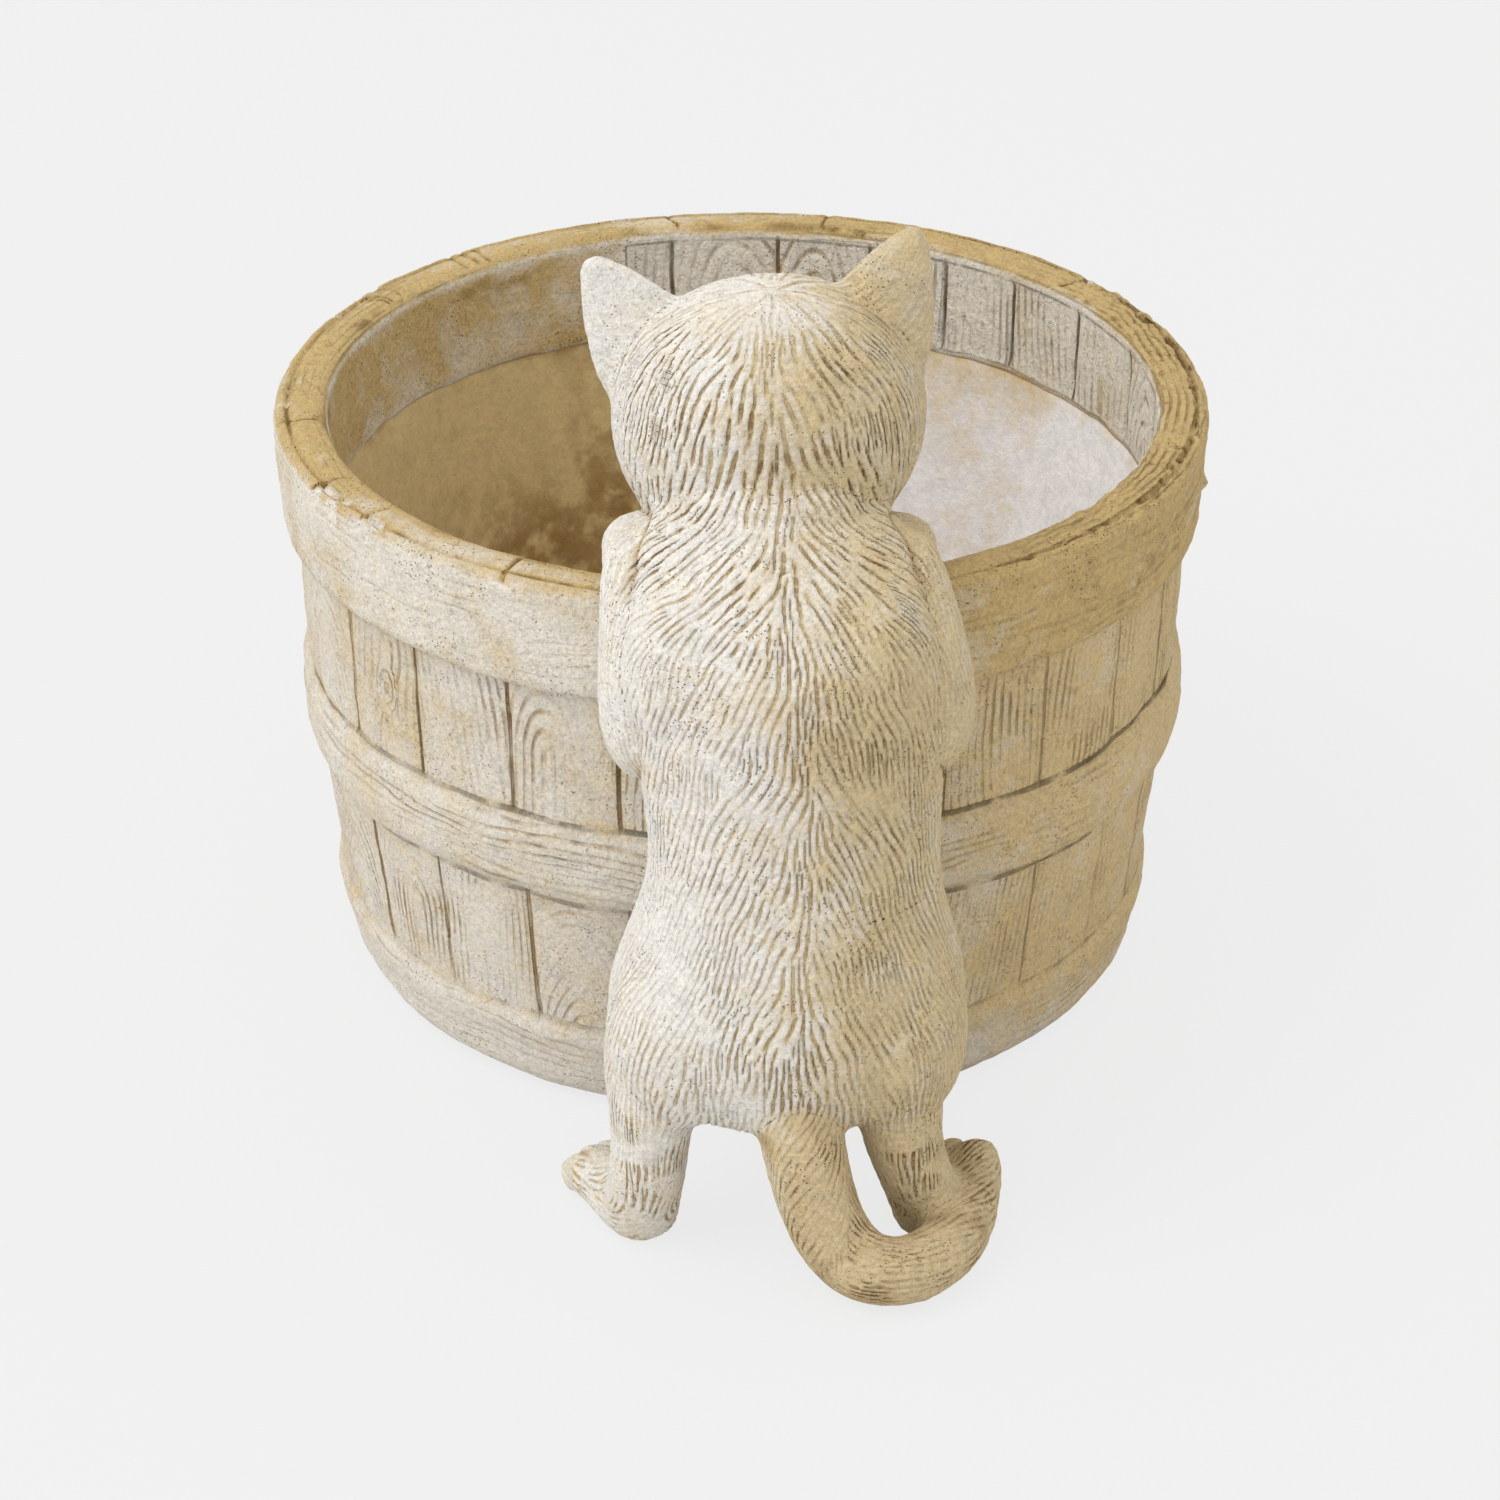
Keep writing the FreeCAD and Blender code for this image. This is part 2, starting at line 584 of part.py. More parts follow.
def tail_rings(radius_name=None, kind="small"):
    """Rings square to the tail's curl, as thick as the tail or as the wire inside it."""
    # Outward run, backward run, lift of the underside, and thickness at each ring
    ring_shares = [
        (0.02, 0.57, 0.820, 1.00),
        (0.05, 0.74, 0.585, 0.96),
        (0.10, 0.81, 0.440, 0.92),
        (0.14, 0.845, 0.300, 0.89),
        (0.18, 0.85, 0.175, 0.86),
        (0.24, 0.87, 0.070, 0.83),
        (0.33, 0.925, 0.010, 0.79),
        (0.46, 0.99, 0.000, 0.76),
        (0.62, 0.96, 0.000, 0.74),
        (0.78, 0.82, 0.000, 0.73),
        (0.90, 0.63, 0.000, 0.71),
        (0.96, 0.44, 0.005, 0.67),
        (1.00, 0.26, 0.035, 0.55),
        (0.99, 0.17, 0.090, 0.36),
        (0.98, 0.14, 0.135, 0.14),
    ]
    middles, radii = [], []
    for out, back, lift, thickness in ring_shares:
        radius = thickness * size("tail_width") / 2
        middles.append(Vector(
            size("kitten_shift") + out * size("tail_sweep"),
            -size("rim_radius") - back * size("tail_reach"),
            lift * size("tail_rise") + radius,
        ))
        radii.append(radius)
    rings = []
    side = Vector(1, 0, 0)
    for index, middle in enumerate(middles):
        before = middles[max(index - 1, 0)]
        after = middles[min(index + 1, len(middles) - 1)]
        along = (after - before).normalize()
        side = (side - along * side.dot(along)).normalize()
        turn = Rotation(side, along.cross(side), along, "ZXY")
        radius = size(radius_name) if radius_name else radii[index]
        rings.append(ring_points(middle, radius, radius, turn, FACETS[kind]))
    return rings


def leg_rod(name, side):
    """A straight steel rod that stands in a hind leg and reaches into the haunch."""
    rod = doc.addObject("Part::Cylinder", name)
    rod.setExpression("Radius", "Sizes.rod_radius")
    rod.setExpression("Height", "Sizes.rod_length")
    rod.setExpression("Placement.Base.x", f"Sizes.kitten_shift + {side} * Sizes.rod_spread")
    rod.setExpression("Placement.Base.y", "-Sizes.rim_radius - Sizes.rod_offset")
    rod.setExpression("Placement.Base.z", "Sizes.rod_cover")
    doc.recompute()
    return rod


def common(name, shapes):
    """What two shapes share."""
    shared = doc.addObject("Part::MultiCommon", name)
    shared.Shapes = shapes
    return shared


SIDES = {"left": -1, "right": 1}

tub = make_tub()
tub_front = feature("tub_front", lathe_front(tub_outline(0)))
bed_front = feature("bed_front", lathe_front(tub_outline(size("bedding"))))

# The ground, as a block that trims soles flat
ground = doc.addObject("Part::Box", "ground")
ground.setExpression("Length", "4 * Sizes.rim_radius")
ground.setExpression("Width", "4 * Sizes.rim_radius")
ground.setExpression("Height", "Sizes.overrun")
ground.setExpression("Placement.Base.x", "-2 * Sizes.rim_radius")
ground.setExpression("Placement.Base.y", "-2 * Sizes.rim_radius")
ground.setExpression("Placement.Base.z", "-Sizes.overrun")

# Steel inside the legs and the tail
rods = {name: leg_rod(f"{name}_leg_rod", side) for name, side in SIDES.items()}
wire = feature("tail_wire", skin(tail_rings("wire_radius", "wire")[:-3]))

# The kitten, from the largest part to the smallest
trunk_form = feature("trunk_form", skin(body_rings()))
# Ring and points out from the spine, at the start and the end of each stroke down the back
back_strokes = [
    (11.2, 0, 9.7, 0),
    (8.7, 0, 6.9, 0),
    (6.0, 0, 4.2, 0),
    (10.4, 1.6, 8.9, 2.6),
    (8.0, 1.6, 6.3, 2.8),
    (5.6, 1.7, 3.9, 3.1),
    (9.2, 3.8, 7.7, 4.8),
    (4.9, 4.2, 3.6, 5.4),
]
back_locks = locks("back_locks", body_rings(), 3 * FACETS["trunk"] // 4, back_strokes)
trunk = cut_by("trunk", trunk_form, [bed_front, rods["left"], rods["right"], wire, back_locks])
# The same for the fan of strokes from the crown down the back of the skull
crown_strokes = [
    (3.3, 0, 1.4, 0),
    (3.2, 1.2, 1.6, 1.9),
    (3.1, 2.6, 1.6, 3.9),
    (3.4, 4.1, 2.2, 5.5),
    (1.1, 2.0, 0.3, 5.4),
]
crown_locks = locks("crown_locks", head_rings(), FACETS["head"] // 4, crown_strokes)
head = cut_by("head", feature("head_form", skin(head_rings())), [trunk_form])
combed_head = cut_by("combed_head", head, [crown_locks])
pieces = {"tub": tub, "kitten_body": trunk, "kitten_head": combed_head, "tail_wire": wire}
arms = []
for name, side in SIDES.items():
    ear_form = feature(f"{name}_ear_form", ear_skin(side, False))
    ear_hollow = feature(f"{name}_ear_hollow", ear_skin(side, True))
    pieces[f"{name}_ear"] = cut_by(f"{name}_ear", ear_form, [ear_hollow, head])
    arm = [feature(f"{name}_arm", arm_skin(side)), feature(f"{name}_paw", paw_skin(side))]
    arms.append(cut_by(f"{name}_arm", fused(f"{name}_arm_form", arm), [trunk_form, head]))
    pieces[f"{name}_foreleg"] = cut_by(f"{name}_foreleg", arms[-1], [bed_front])
    leg = [feature(f"{name}_shin", leg_skin(side)), feature(f"{name}_sole", foot_skin(side))]
    leg_cuts = [ground, trunk_form, rods[name]] if name == "left" else [ground, trunk_form, wire, rods[name]]
    pieces[f"{name}_hind_leg"] = cut_by(f"{name}_hind_leg", fused(f"{name}_leg_form", leg), leg_cuts)
    pieces[f"{name}_leg_rod"] = rods[name]
tail_form = feature("tail_form", skin(tail_rings()))
pieces["tail"] = cut_by("tail", tail_form, [trunk_form, wire, pieces["right_hind_leg"]])

# Mortar fills the gap between the tub and each part that leans on it
pieces["chest_mortar"] = cut_by("chest_mortar", common("chest_bed", [trunk_form, bed_front]), [tub_front])
paw_mortar = [cut_by(f"paw_mortar_{index}", common(f"paw_bed_{index}", [arm, bed_front]), [tub_front])
              for index, arm in enumerate(arms)]
doc.recompute()
pieces["paw_mortar"] = feature("paw_mortar", Part.makeCompound([bed.Shape for bed in paw_mortar]))

for name, piece in pieces.items():
    piece.Label = name
doc.recompute()

for item in doc.Objects:
    if "Invalid" in item.State or "Error" in item.State:
        raise ValueError(f"{item.Label} failed to build")
os.makedirs("parts", exist_ok=True)
for name, piece in pieces.items():
    if piece.Shape.isNull() or not piece.Shape.isValid():
        raise ValueError(f"{name} has no valid shape")
    solids = len(piece.Shape.Solids)
    print(f"{name}: {solids} solid(s), {piece.Shape.Volume:.0f} mm3, {len(piece.Shape.Faces)} faces")
    piece.Shape.exportStep(f"parts/{name}.step")
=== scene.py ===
import math
from itertools import product

import bpy
import numpy as np
from mathutils import Euler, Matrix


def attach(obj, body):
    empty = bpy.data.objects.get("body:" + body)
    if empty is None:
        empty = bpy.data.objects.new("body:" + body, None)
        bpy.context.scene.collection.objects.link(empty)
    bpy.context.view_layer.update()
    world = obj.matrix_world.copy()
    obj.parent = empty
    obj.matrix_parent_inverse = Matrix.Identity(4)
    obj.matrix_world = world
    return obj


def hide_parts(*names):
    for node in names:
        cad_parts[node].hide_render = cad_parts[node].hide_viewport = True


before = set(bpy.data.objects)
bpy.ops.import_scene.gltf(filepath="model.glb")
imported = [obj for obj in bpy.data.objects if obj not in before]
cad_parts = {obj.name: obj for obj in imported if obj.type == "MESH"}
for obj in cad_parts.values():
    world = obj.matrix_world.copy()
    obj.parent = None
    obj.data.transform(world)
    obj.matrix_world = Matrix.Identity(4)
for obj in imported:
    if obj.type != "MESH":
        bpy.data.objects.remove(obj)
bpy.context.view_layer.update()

bpy.ops.object.select_all(action="DESELECT")

# Viewpoint and studio: a long lens looks down on the kitten's back, over a pale floor that runs out of sight.
# A large soft lamp stands to the left, and the pale surroundings fill the shadows.
PAPER = (0.871, 0.871, 0.871, 1)
FLOOR_BELOW = 0.0002


class Wiring:
    """Adds nodes to a tree and links them, a value or a socket for each input."""

    def __init__(self, tree):
        self.tree = tree

    def add(self, kind, inputs=None, **settings):
        node = self.tree.nodes.new(kind)
        for name, value in settings.items():
            setattr(node, name, value)
        for name, value in (inputs or {}).items():
            if isinstance(value, bpy.types.NodeSocket):
                self.tree.links.new(value, node.inputs[name])
            else:
                node.inputs[name].default_value = value
        return node

    def place(self):
        return self.add("ShaderNodeTexCoord").outputs["Object"]

    def kept(self, name):
        return self.add("ShaderNodeAttribute", attribute_name=name).outputs["Fac"]

    def noise(self, place, scale, detail, roughness=0.55):
        inputs = {"Vector": place, "Scale": scale, "Detail": detail, "Roughness": roughness}
        return self.add("ShaderNodeTexNoise", inputs).outputs["Fac"]

    def span(self, value, low, high, new_low=0.0, new_high=1.0):
        inputs = {"Value": value, "From Min": low, "From Max": high, "To Min": new_low, "To Max": new_high}
        return self.add("ShaderNodeMapRange", inputs, interpolation_type="SMOOTHSTEP").outputs["Result"]

    def math(self, operation, first, second=0.0):
        return self.add("ShaderNodeMath", {0: first, 1: second}, operation=operation).outputs[0]

    def sum(self, *parts):
        total = parts[0]
        for part in parts[1:]:
            total = self.math("ADD", total, part)
        return total

    def product(self, *parts):
        total = parts[0]
        for part in parts[1:]:
            total = self.math("MULTIPLY", total, part)
        return total

    def mix(self, share, first, second, blend="MIX"):
        inputs = {0: share, 6: first, 7: second}
        return self.add("ShaderNodeMix", inputs, data_type="RGBA", blend_type=blend).outputs[2]

    def bump(self, height, distance, strength=1.0):
        inputs = {"Height": height, "Distance": distance, "Strength": strength}
        return self.add("ShaderNodeBump", inputs).outputs["Normal"]

    def shade(self, inputs):
        shader = self.add("ShaderNodeBsdfPrincipled", inputs)
        self.add("ShaderNodeOutputMaterial", {"Surface": shader.outputs["BSDF"]})


def new_material(name):
    """A material with an empty tree, and the wiring for it."""
    material = bpy.data.materials.new(name)
    material.use_nodes = True
    material.node_tree.nodes.clear()
    return material, Wiring(material.node_tree)


def seen_directly(wire):
    """1 for a ray that shows the surroundings themselves: to the camera, off metal or through glass."""
    path = wire.add("ShaderNodeLightPath").outputs
    either = wire.math("MAXIMUM", path["Is Camera Ray"], path["Is Glossy Ray"])
    return wire.math("MAXIMUM", either, path["Is Transmission Ray"])


bpy.ops.object.camera_add(location=(0.00242, -1.08934, 0.68334), rotation=(math.radians(60.03), 0, 0))
camera = bpy.context.object
camera.data.lens, camera.data.sensor_width = 96, 36
bpy.context.scene.camera = camera
bpy.context.scene.view_settings.view_transform = "Standard"

surroundings = bpy.data.worlds.new("surroundings")
bpy.context.scene.world = surroundings
surroundings.use_nodes = True
surroundings.node_tree.nodes.clear()
wire = Wiring(surroundings.node_tree)
fill = wire.add("ShaderNodeBackground", {"Color": (1.0, 0.99, 0.975, 1), "Strength": 0.93})
seen = wire.add("ShaderNodeBackground", {"Color": PAPER})
both = wire.add("ShaderNodeMixShader", {"Fac": seen_directly(wire), 1: fill.outputs[0], 2: seen.outputs[0]})
wire.add("ShaderNodeOutputWorld", {"Surface": both.outputs["Shader"]})

bpy.ops.mesh.primitive_plane_add(size=12, location=(0, 0, -FLOOR_BELOW))
floor = bpy.context.object
floor.name = "floor"
paper, wire = new_material("paper")
matt = wire.add("ShaderNodeBsdfDiffuse", {"Color": (0.8, 0.8, 0.8, 1)})
glow = wire.add("ShaderNodeEmission", {"Color": PAPER})
share = wire.math("MULTIPLY", seen_directly(wire), 0.9)
both = wire.add("ShaderNodeMixShader", {"Fac": share, 1: matt.outputs[0], 2: glow.outputs[0]})
wire.add("ShaderNodeOutputMaterial", {"Surface": both.outputs["Shader"]})
floor.data.materials.append(paper)

bpy.ops.object.light_add(type="AREA", location=(-1.22, -0.6, 1.95))
key = bpy.context.object
key.name = "window"
key.data.size, key.data.energy = 1.1, 20.5
key.data.color = (1.0, 0.985, 0.955)
key.rotation_euler = (math.radians(36), 0, math.radians(-64))


# The tub's outer wall: staves of carved oak grain between a foot band and a waist band, all one casting.
# It is turned from its outline, and then the seams, the grain and the knots are carved into it.
TO_METRES = 0.001
STAVES = 26
STAVE_TURN = 360 / STAVES
FOOT_BAND, LOW_STAVES, WAIST_BAND, HIGH_STAVES = (3, 27), (28.5, 76), (77, 101.5), (102, 150)
WAIST = 90
SEAM_WIDTH, SEAM_REACH = 0.8, 4
AWAY_FROM_LIGHT = (-30, 105)
KNOT_RADIUS, KNOT_RINGS = 5, 2.1
SCATTER = np.array((73856093, 19349663, 83492791, 1274126177), dtype=np.uint32)


def along(corners, step):
    """Points every step or so along a broken line, corners kept."""
    points = [corners[0]]
    for start, end in zip(corners, corners[1:]):
        parts = max(1, round(math.dist(start, end) / step))
        for part in range(1, parts + 1):
            points.append(tuple(a + (b - a) * part / parts for a, b in zip(start, end)))
    return points


def rounded(middle, radius, first, last, parts):
    """Points on a quarter or so of a circle, by angle from the horizontal."""
    angles = [math.radians(first + (last - first) * part / parts) for part in range(parts + 1)]
    return [(middle[0] + radius * math.cos(angle), middle[1] + radius * math.sin(angle)) for angle in angles]


def turn(name, outline, sides):
    """A closed ring turned from its closed outline of (radius, height) points, in millimetres."""
    bpy.ops.mesh.primitive_plane_add(size=0.1, location=(outline[0][0], 0, outline[0][1]))
    ring = bpy.context.object
    ring.name = name
    bpy.ops.object.transform_apply(location=True)
    bpy.ops.object.mode_set(mode="EDIT")
    bpy.ops.mesh.select_all(action="SELECT")
    bpy.ops.mesh.merge(type="CENTER")
    for start, end in zip(outline, outline[1:] + outline[:1]):
        shift = (end[0] - start[0], 0, end[1] - start[1])
        bpy.ops.mesh.extrude_region_move(TRANSFORM_OT_translate={"value": shift})
    bpy.ops.mesh.select_all(action="SELECT")
    bpy.ops.mesh.remove_doubles(threshold=0.01)
    bpy.ops.object.mode_set(mode="OBJECT")
    spin = ring.modifiers.new("spin", "SCREW")
    spin.steps = spin.render_steps = sides
    spin.use_merge_vertices = True
    spin.merge_threshold = 0.001
    bpy.ops.object.modifier_apply(modifier="spin")
    bpy.ops.object.mode_set(mode="EDIT")
    bpy.ops.mesh.select_all(action="SELECT")
    bpy.ops.mesh.normals_make_consistent(inside=False)
    bpy.ops.object.mode_set(mode="OBJECT")
    bpy.ops.object.shade_smooth()
    return ring


def read_all(items, name, width, kind=float):
    """One property of all points, edges or corners of a mesh, a row for each."""
    values = np.empty(len(items) * width, dtype=kind)
    items.foreach_get(name, values)
    return values.reshape(-1, width)


def read_points(piece):
    """A mesh's points and outward normals, a row for each."""
    return read_all(piece.data.vertices, "co", 3), read_all(piece.data.vertex_normals, "vector", 3)


def around(points):
    """Each point's height, distance from the tub's axis and angle about it in degrees."""
    x, y, z = points.T
    return z, np.hypot(x, y), np.degrees(np.arctan2(y, x))


def write_points(piece, points):
    """Puts the mesh's points where the carving left them."""
    piece.data.vertices.foreach_set("co", points.ravel())
    piece.data.update()


def keep_values(piece, **values):
    """Keeps a number for each point of a mesh under each name, for its material to read."""
    for name, value in values.items():
        layer = piece.data.attributes.new(name=name, type="FLOAT", domain="POINT")
        layer.data.foreach_set("value", value.astype(np.float32))


def to_metres(piece):
    """Shrinks a piece that was shaped in millimetres to metres."""
    piece.scale = (TO_METRES,) * 3
    bpy.ops.object.select_all(action="DESELECT")
    piece.select_set(True)
    bpy.context.view_layer.objects.active = piece
    bpy.ops.object.transform_apply(scale=True)


def lumps(points, size, seed):
    """Smooth noise from -1 to 1, with lumps of that size in millimetres, or of one size for each axis."""
    places = points / np.broadcast_to(np.asarray(size, float), (3,)) + seed * 17.31
    cells = np.floor(places).astype(np.int64)
    part = places - cells
    ease = part * part * (3 - 2 * part)
    total = np.zeros(len(points))
    for corner in product((0, 1), repeat=3):
        step = np.array(corner)
        at = (cells + step).astype(np.uint32) * SCATTER[:3]
        mixed = at[:, 0] ^ at[:, 1] ^ at[:, 2]
        mixed = (mixed ^ (mixed >> np.uint32(13))) * SCATTER[3]
        mixed = mixed ^ (mixed >> np.uint32(16))
        value = mixed / 0xFFFFFFFF * 2 - 1
        total += value * np.prod(np.where(step, ease, 1 - ease), axis=1)
    return total


def soft_step(value, low, high):
    """0 below the low limit, 1 above the high one, and smooth between."""
    part = np.clip((value - low) / (high - low), 0, 1)
    return part * part * (3 - 2 * part)


def between(value, low, high, edge):
    """1 between two limits, 0 outside them, with a soft edge."""
    half = edge / 2
    return soft_step(value, low - half, low + half) * soft_step(-value, -high - half, -high + half)


def near(value, middle, width):
    """1 where a value is at the middle, and soon 0 away from it."""
    return np.exp(-(((value - middle) / width) ** 2))


def rough(points, *layers):
    """Smooth noise in layers, each with its share, its size and its seed."""
    return sum(share * lumps(points, size, seed) for share, size, seed in layers)


def broken_up(points, level, swing, size, seed):
    """A share from 0 to 1 that comes and goes over the surface."""
    return np.clip(level + swing * lumps(points, size, seed), 0, 1)


def stave_places(points, share, wobble):
    """Each point's stave, and its distances from the stave's middle line and from the nearest seam."""
    angle = np.arctan2(points[:, 1], points[:, 0])
    radius = np.hypot(points[:, 0], points[:, 1])
    place = np.degrees(angle) / STAVE_TURN - share + wobble * np.sin(5 * angle + 1.3)
    stave = np.floor(place)
    half = math.radians(STAVE_TURN) / 2 * radius
    across = (place - stave - 0.5) * 2 * half
    return stave.astype(int) % STAVES, across, half - np.abs(across)


def oak_lines(points, across, up, stave, seed, spacing, arch_at=None):
    """A count that goes up by one from line to line of the oak's grain: straight, arched, or round a knot.

    up is 0 at a stave's foot and 1 at its head. arch_at is a stave, its arches' middle and their foot.
    """
    dice = np.random.default_rng(seed)
    middle, slope = dice.uniform(-6, 6, STAVES), dice.uniform(-5, 5, STAVES)
    foot_of_arch, straight = dice.uniform(-0.2, 0.9, STAVES), dice.random(STAVES) < 0.5
    knot_up, knot_side = dice.uniform(-3, 4, STAVES), dice.uniform(-6, 6, STAVES)
    straight[-5:] = True
    if arch_at:
        arched = arch_at[0]
        middle[arched], foot_of_arch[arched] = arch_at[1:]
        straight[arched], knot_up[arched] = False, -9
    side = across - middle[stave] + slope[stave] * up
    side += rough(points, (2, (26, 26, 34), seed), (0.6, (8, 8, 13), seed + 1))
    from_knot = np.hypot(across - knot_side[stave], (up - knot_up[stave]) * 27)
    side = side + np.sign(side) * 5 * near(from_knot, 0, 8)
    above = np.clip(up - foot_of_arch[stave], 0, None) * 46
    lines = np.where(straight[stave], side, np.sqrt(side**2 + (0.42 * above) ** 2 + 2))
    return np.where(from_knot < KNOT_RADIUS, from_knot / KNOT_RINGS, lines / spacing)


def groove(count, width):
    """How deep a point lies in the lines that a count marks, 0 to 1."""
    return near(count - np.floor(count), 0.5, width)


foot_round = rounded((113.5, 11), 11, -90, 0, 8)
wall_outline = (
    along([(107, 1.2), (108, 0), (113.5, 0)], 2)
    + foot_round[1:]
    + along([(124.5, 11), (127.6, 23.5), (127.4, 25.8), (126, 28.4)], 1.25)[1:]
    + along([(126, 28.4), (131.2, 76.2)], 2.1)[1:]
    + along([(131.2, 76.2), (133.9, 78.2), (135.2, 82), (135.5, 89)], 1.2)[1:]
    + along([(135.5, 89), (135.1, 96), (133.9, 99.6), (132.9, 101.6)], 1.2)[1:]
    + along([(132.9, 101.6), (134.5, 147.4)], 2.1)[1:]
    + along([(134.5, 147.4), (130, 147.6), (126.5, 80), (121, 28), (116, 12)], 14)[1:]
)
tub_wall = turn("tub_wall", wall_outline, 832)
points, normals = read_points(tub_wall)
height, radius, angle = around(points)
outside = (np.sum((points * normals)[:, :2], axis=1) > 0) & (radius > 112)
lower = height < WAIST
staves = (between(height, *LOW_STAVES, 3) + between(height, *HIGH_STAVES, 3)) * outside
bands = (between(height, *WAIST_BAND, 2) + between(height, *FOOT_BAND, 3)) * outside

stave, across, to_seam = stave_places(points, np.where(lower, 0.45, 0.38), 0.05)
worn = soft_step(angle, -66, -48) * soft_step(-angle, -30, 0)
clear = 1 - np.where(lower, 0.8, 0.55) * worn
beside_seam = -np.sign(across) * to_seam + 0.3 * lumps(points, (40, 40, 9), 3)
seam = near(to_seam, 0, SEAM_WIDTH) * broken_up(points, 0.75, 0.5, (30, 30, 16), 16) * clear
count_low = oak_lines(points, across, (height - 28) / 48, stave, 11, 2.2)
count_high = oak_lines(points, across, (height - 102) / 46, stave, 23, 2.6, (17, -5.4, 0.45))
count_band = (height + rough(points * (1, 1, 3), (2.6, 30, 5), (0.9, 11, 6))) / 3.0
count = np.where(staves > 0.5, np.where(lower, count_low, count_high), count_band)
strength = broken_up(points, 0.55, 0.7, (7, 7, 28), 7) * (1 - 0.4 * worn * lower)
split = between(angle, -126, -90, 8) * between(height, 78, 100, 3)
strength_band = broken_up(points, 0.3 + 0.5 * split, 0.8, (40, 40, 6), 8)
lines = np.where(staves > 0.5, strength * staves, strength_band * bands)
line = groove(count, 0.2) * lines

dice = np.random.default_rng(4)
lift = dice.uniform(-0.2, 0.15, STAVES)[stave] - 0.35 * (across / 16) ** 2
carved = staves * (lift - 0.95 * seam) - 0.5 * line * (1 + split)
carved += bands * rough(points, (0.5, (30, 30, 9), 9), (0.3, (11, 11, 5), 17))
carved += outside * rough(points, (0.4, 24, 10), (0.22, 7, 12), (0.13, 3, 13))
edge_of_band = near(height, 101, 2) + near(height, 77, 2)
carved -= outside * edge_of_band * 0.8 * broken_up(points, 0, 1, (9, 9, 30), 18)
uneven = rough(points * (1, 1, 0), (1.1, 38, 14), (0.9, 13, 15))
points = points + normals * carved[:, None]
points[:, 2] += between(height, 70, 108, 14) * outside * uneven
points[:, 2] = np.maximum(points[:, 2], 0)
write_points(tub_wall, points)
# Painted shadow along the waist band's edges, above the foot band and under the rim's overhang, put into the
# stain and recess values.
painted_shadow_at_band_edges = (1 + 0.6 * worn) * near(height, 102.6, 1.8) + 0.7 * (1 - 0.8 * worn) * near(height, 76.2, 1.3)
painted_shadow_at_band_edges += 0.6 * near(height, 28.5, 1.6) + 0.5 * near(height, 147, 2)
painted_shadow_at_band_edges *= np.clip(0.5 + 0.7 * lumps(points, (14, 14, 30), 19), 0.1, 1)
# Painted shade with the wash: the wall darker and warmer towards the right, away from the lamp, with blotches
# of wash over it.
stain = 0.24 + 0.7 * soft_step(points[:, 0], *AWAY_FROM_LIGHT) + rough(points, (0.2, 40, 71), (0.15, 13, 72))
stain += 0.25 * painted_shadow_at_band_edges + 0.2 * staves * np.exp(-to_seam / 3) - 0.4 * soft_step(-height, -26, -8)
keep_values(tub_wall, count=count, lines=lines, seam=beside_seam,
            near_seam=staves * (to_seam < SEAM_REACH) * clear,
            recess=np.clip(0.75 * painted_shadow_at_band_edges * outside, 0, 1), stain=stain)
to_metres(tub_wall)
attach(tub_wall, "root")
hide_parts("tub")

# The tub's rim: a broad hoop with a rounded lip, a line cut round its top, and a row of short staves inside.
# The same casting as the wall; its hoop is carved along its length, and the inner staves upright.
INNER_STAVES, PLASTERED = (147, 176.5), (108, 222)
LIP_LINE, INNER_EDGE, ROUGH_END = 135.5, 126, (-50, 38)
NUB_ANGLE, NUB_HEIGHT, DEGREE_AT_RIM = -12.9, 164, 2.42
rim_outline = (
    along([(131, 146.2), (134.3, 146.6), (137.6, 147), (138.5, 149.2)], 1)
    + along([(138.5, 149.2), (138.9, 158), (139.3, 168), (139.5, 176.5)], 1)[1:]
    + rounded((136.3, 177.2), 3.2, 0, 80, 5)
    + along([(136.2, 180.5), (135.5, 179.5), (134.7, 180.5), (131, 180.9), (127.5, 180.6)], 0.85)
    + rounded((127.3, 176.6), 3.9, 95, 180, 6)
    + along([(123.4, 176.6), (122.8, 160), (122.6, 147.2), (123.4, 145), (126.5, 144.6)], 1)[1:]
    + along([(126.5, 144.6), (128.5, 145.2)], 2)[1:]
)
tub_rim = turn("tub_rim", rim_outline, 900)
points, normals = read_points(tub_rim)
height, radius, angle = around(points)
inward = -np.sum((points * normals)[:, :2], axis=1) / radius
inside_wall = between(height, *INNER_STAVES, 3) * (inward > 0.6) * (radius < INNER_EDGE)
plastered = between(angle % 360, *PLASTERED, 8)
inner = inside_wall * (1 - plastered)
hoop = (inward < -0.5) * between(height, 148, 178, 3)
crown = between(height, 178.5, 185, 2)

stave, across, to_seam = stave_places(points, 0.2, 0.12)
beside_seam = -np.sign(across) * to_seam + 0.35 * lumps(points, (40, 40, 7), 31)
seam = near(to_seam, 0, SEAM_WIDTH) * between(height, 149, 175, 3)
flat = points * (1, 1, 3)
count_stave = oak_lines(points, across, (height - 147) / 46, stave, 39, 3.2)
count_hoop = (height + rough(flat, (3, 36, 38), (0.8, 12, 47))) / 3.6
count_crown = (radius + rough(points, (1.8, 30, 39), (0.6, 9, 48))) / 2.8
count = np.where(inner > 0.5, count_stave, np.where(crown > 0.5, count_crown, count_hoop))
rough_end = between(angle, *ROUGH_END, 30) * np.maximum(crown, 0.25 * hoop)
level = 0.1 + 0.4 * rough_end + 0.4 * soft_step(points[:, 0], 10, 90)
strength_hoop = broken_up(points, level, 0.8, (20, 20, 5), 41) * np.maximum(0.7 * hoop, crown)
lines = np.maximum(broken_up(points, 0.75, 0.6, (9, 9, 30), 40) * inner, strength_hoop)
line = groove(count, 0.2) * lines

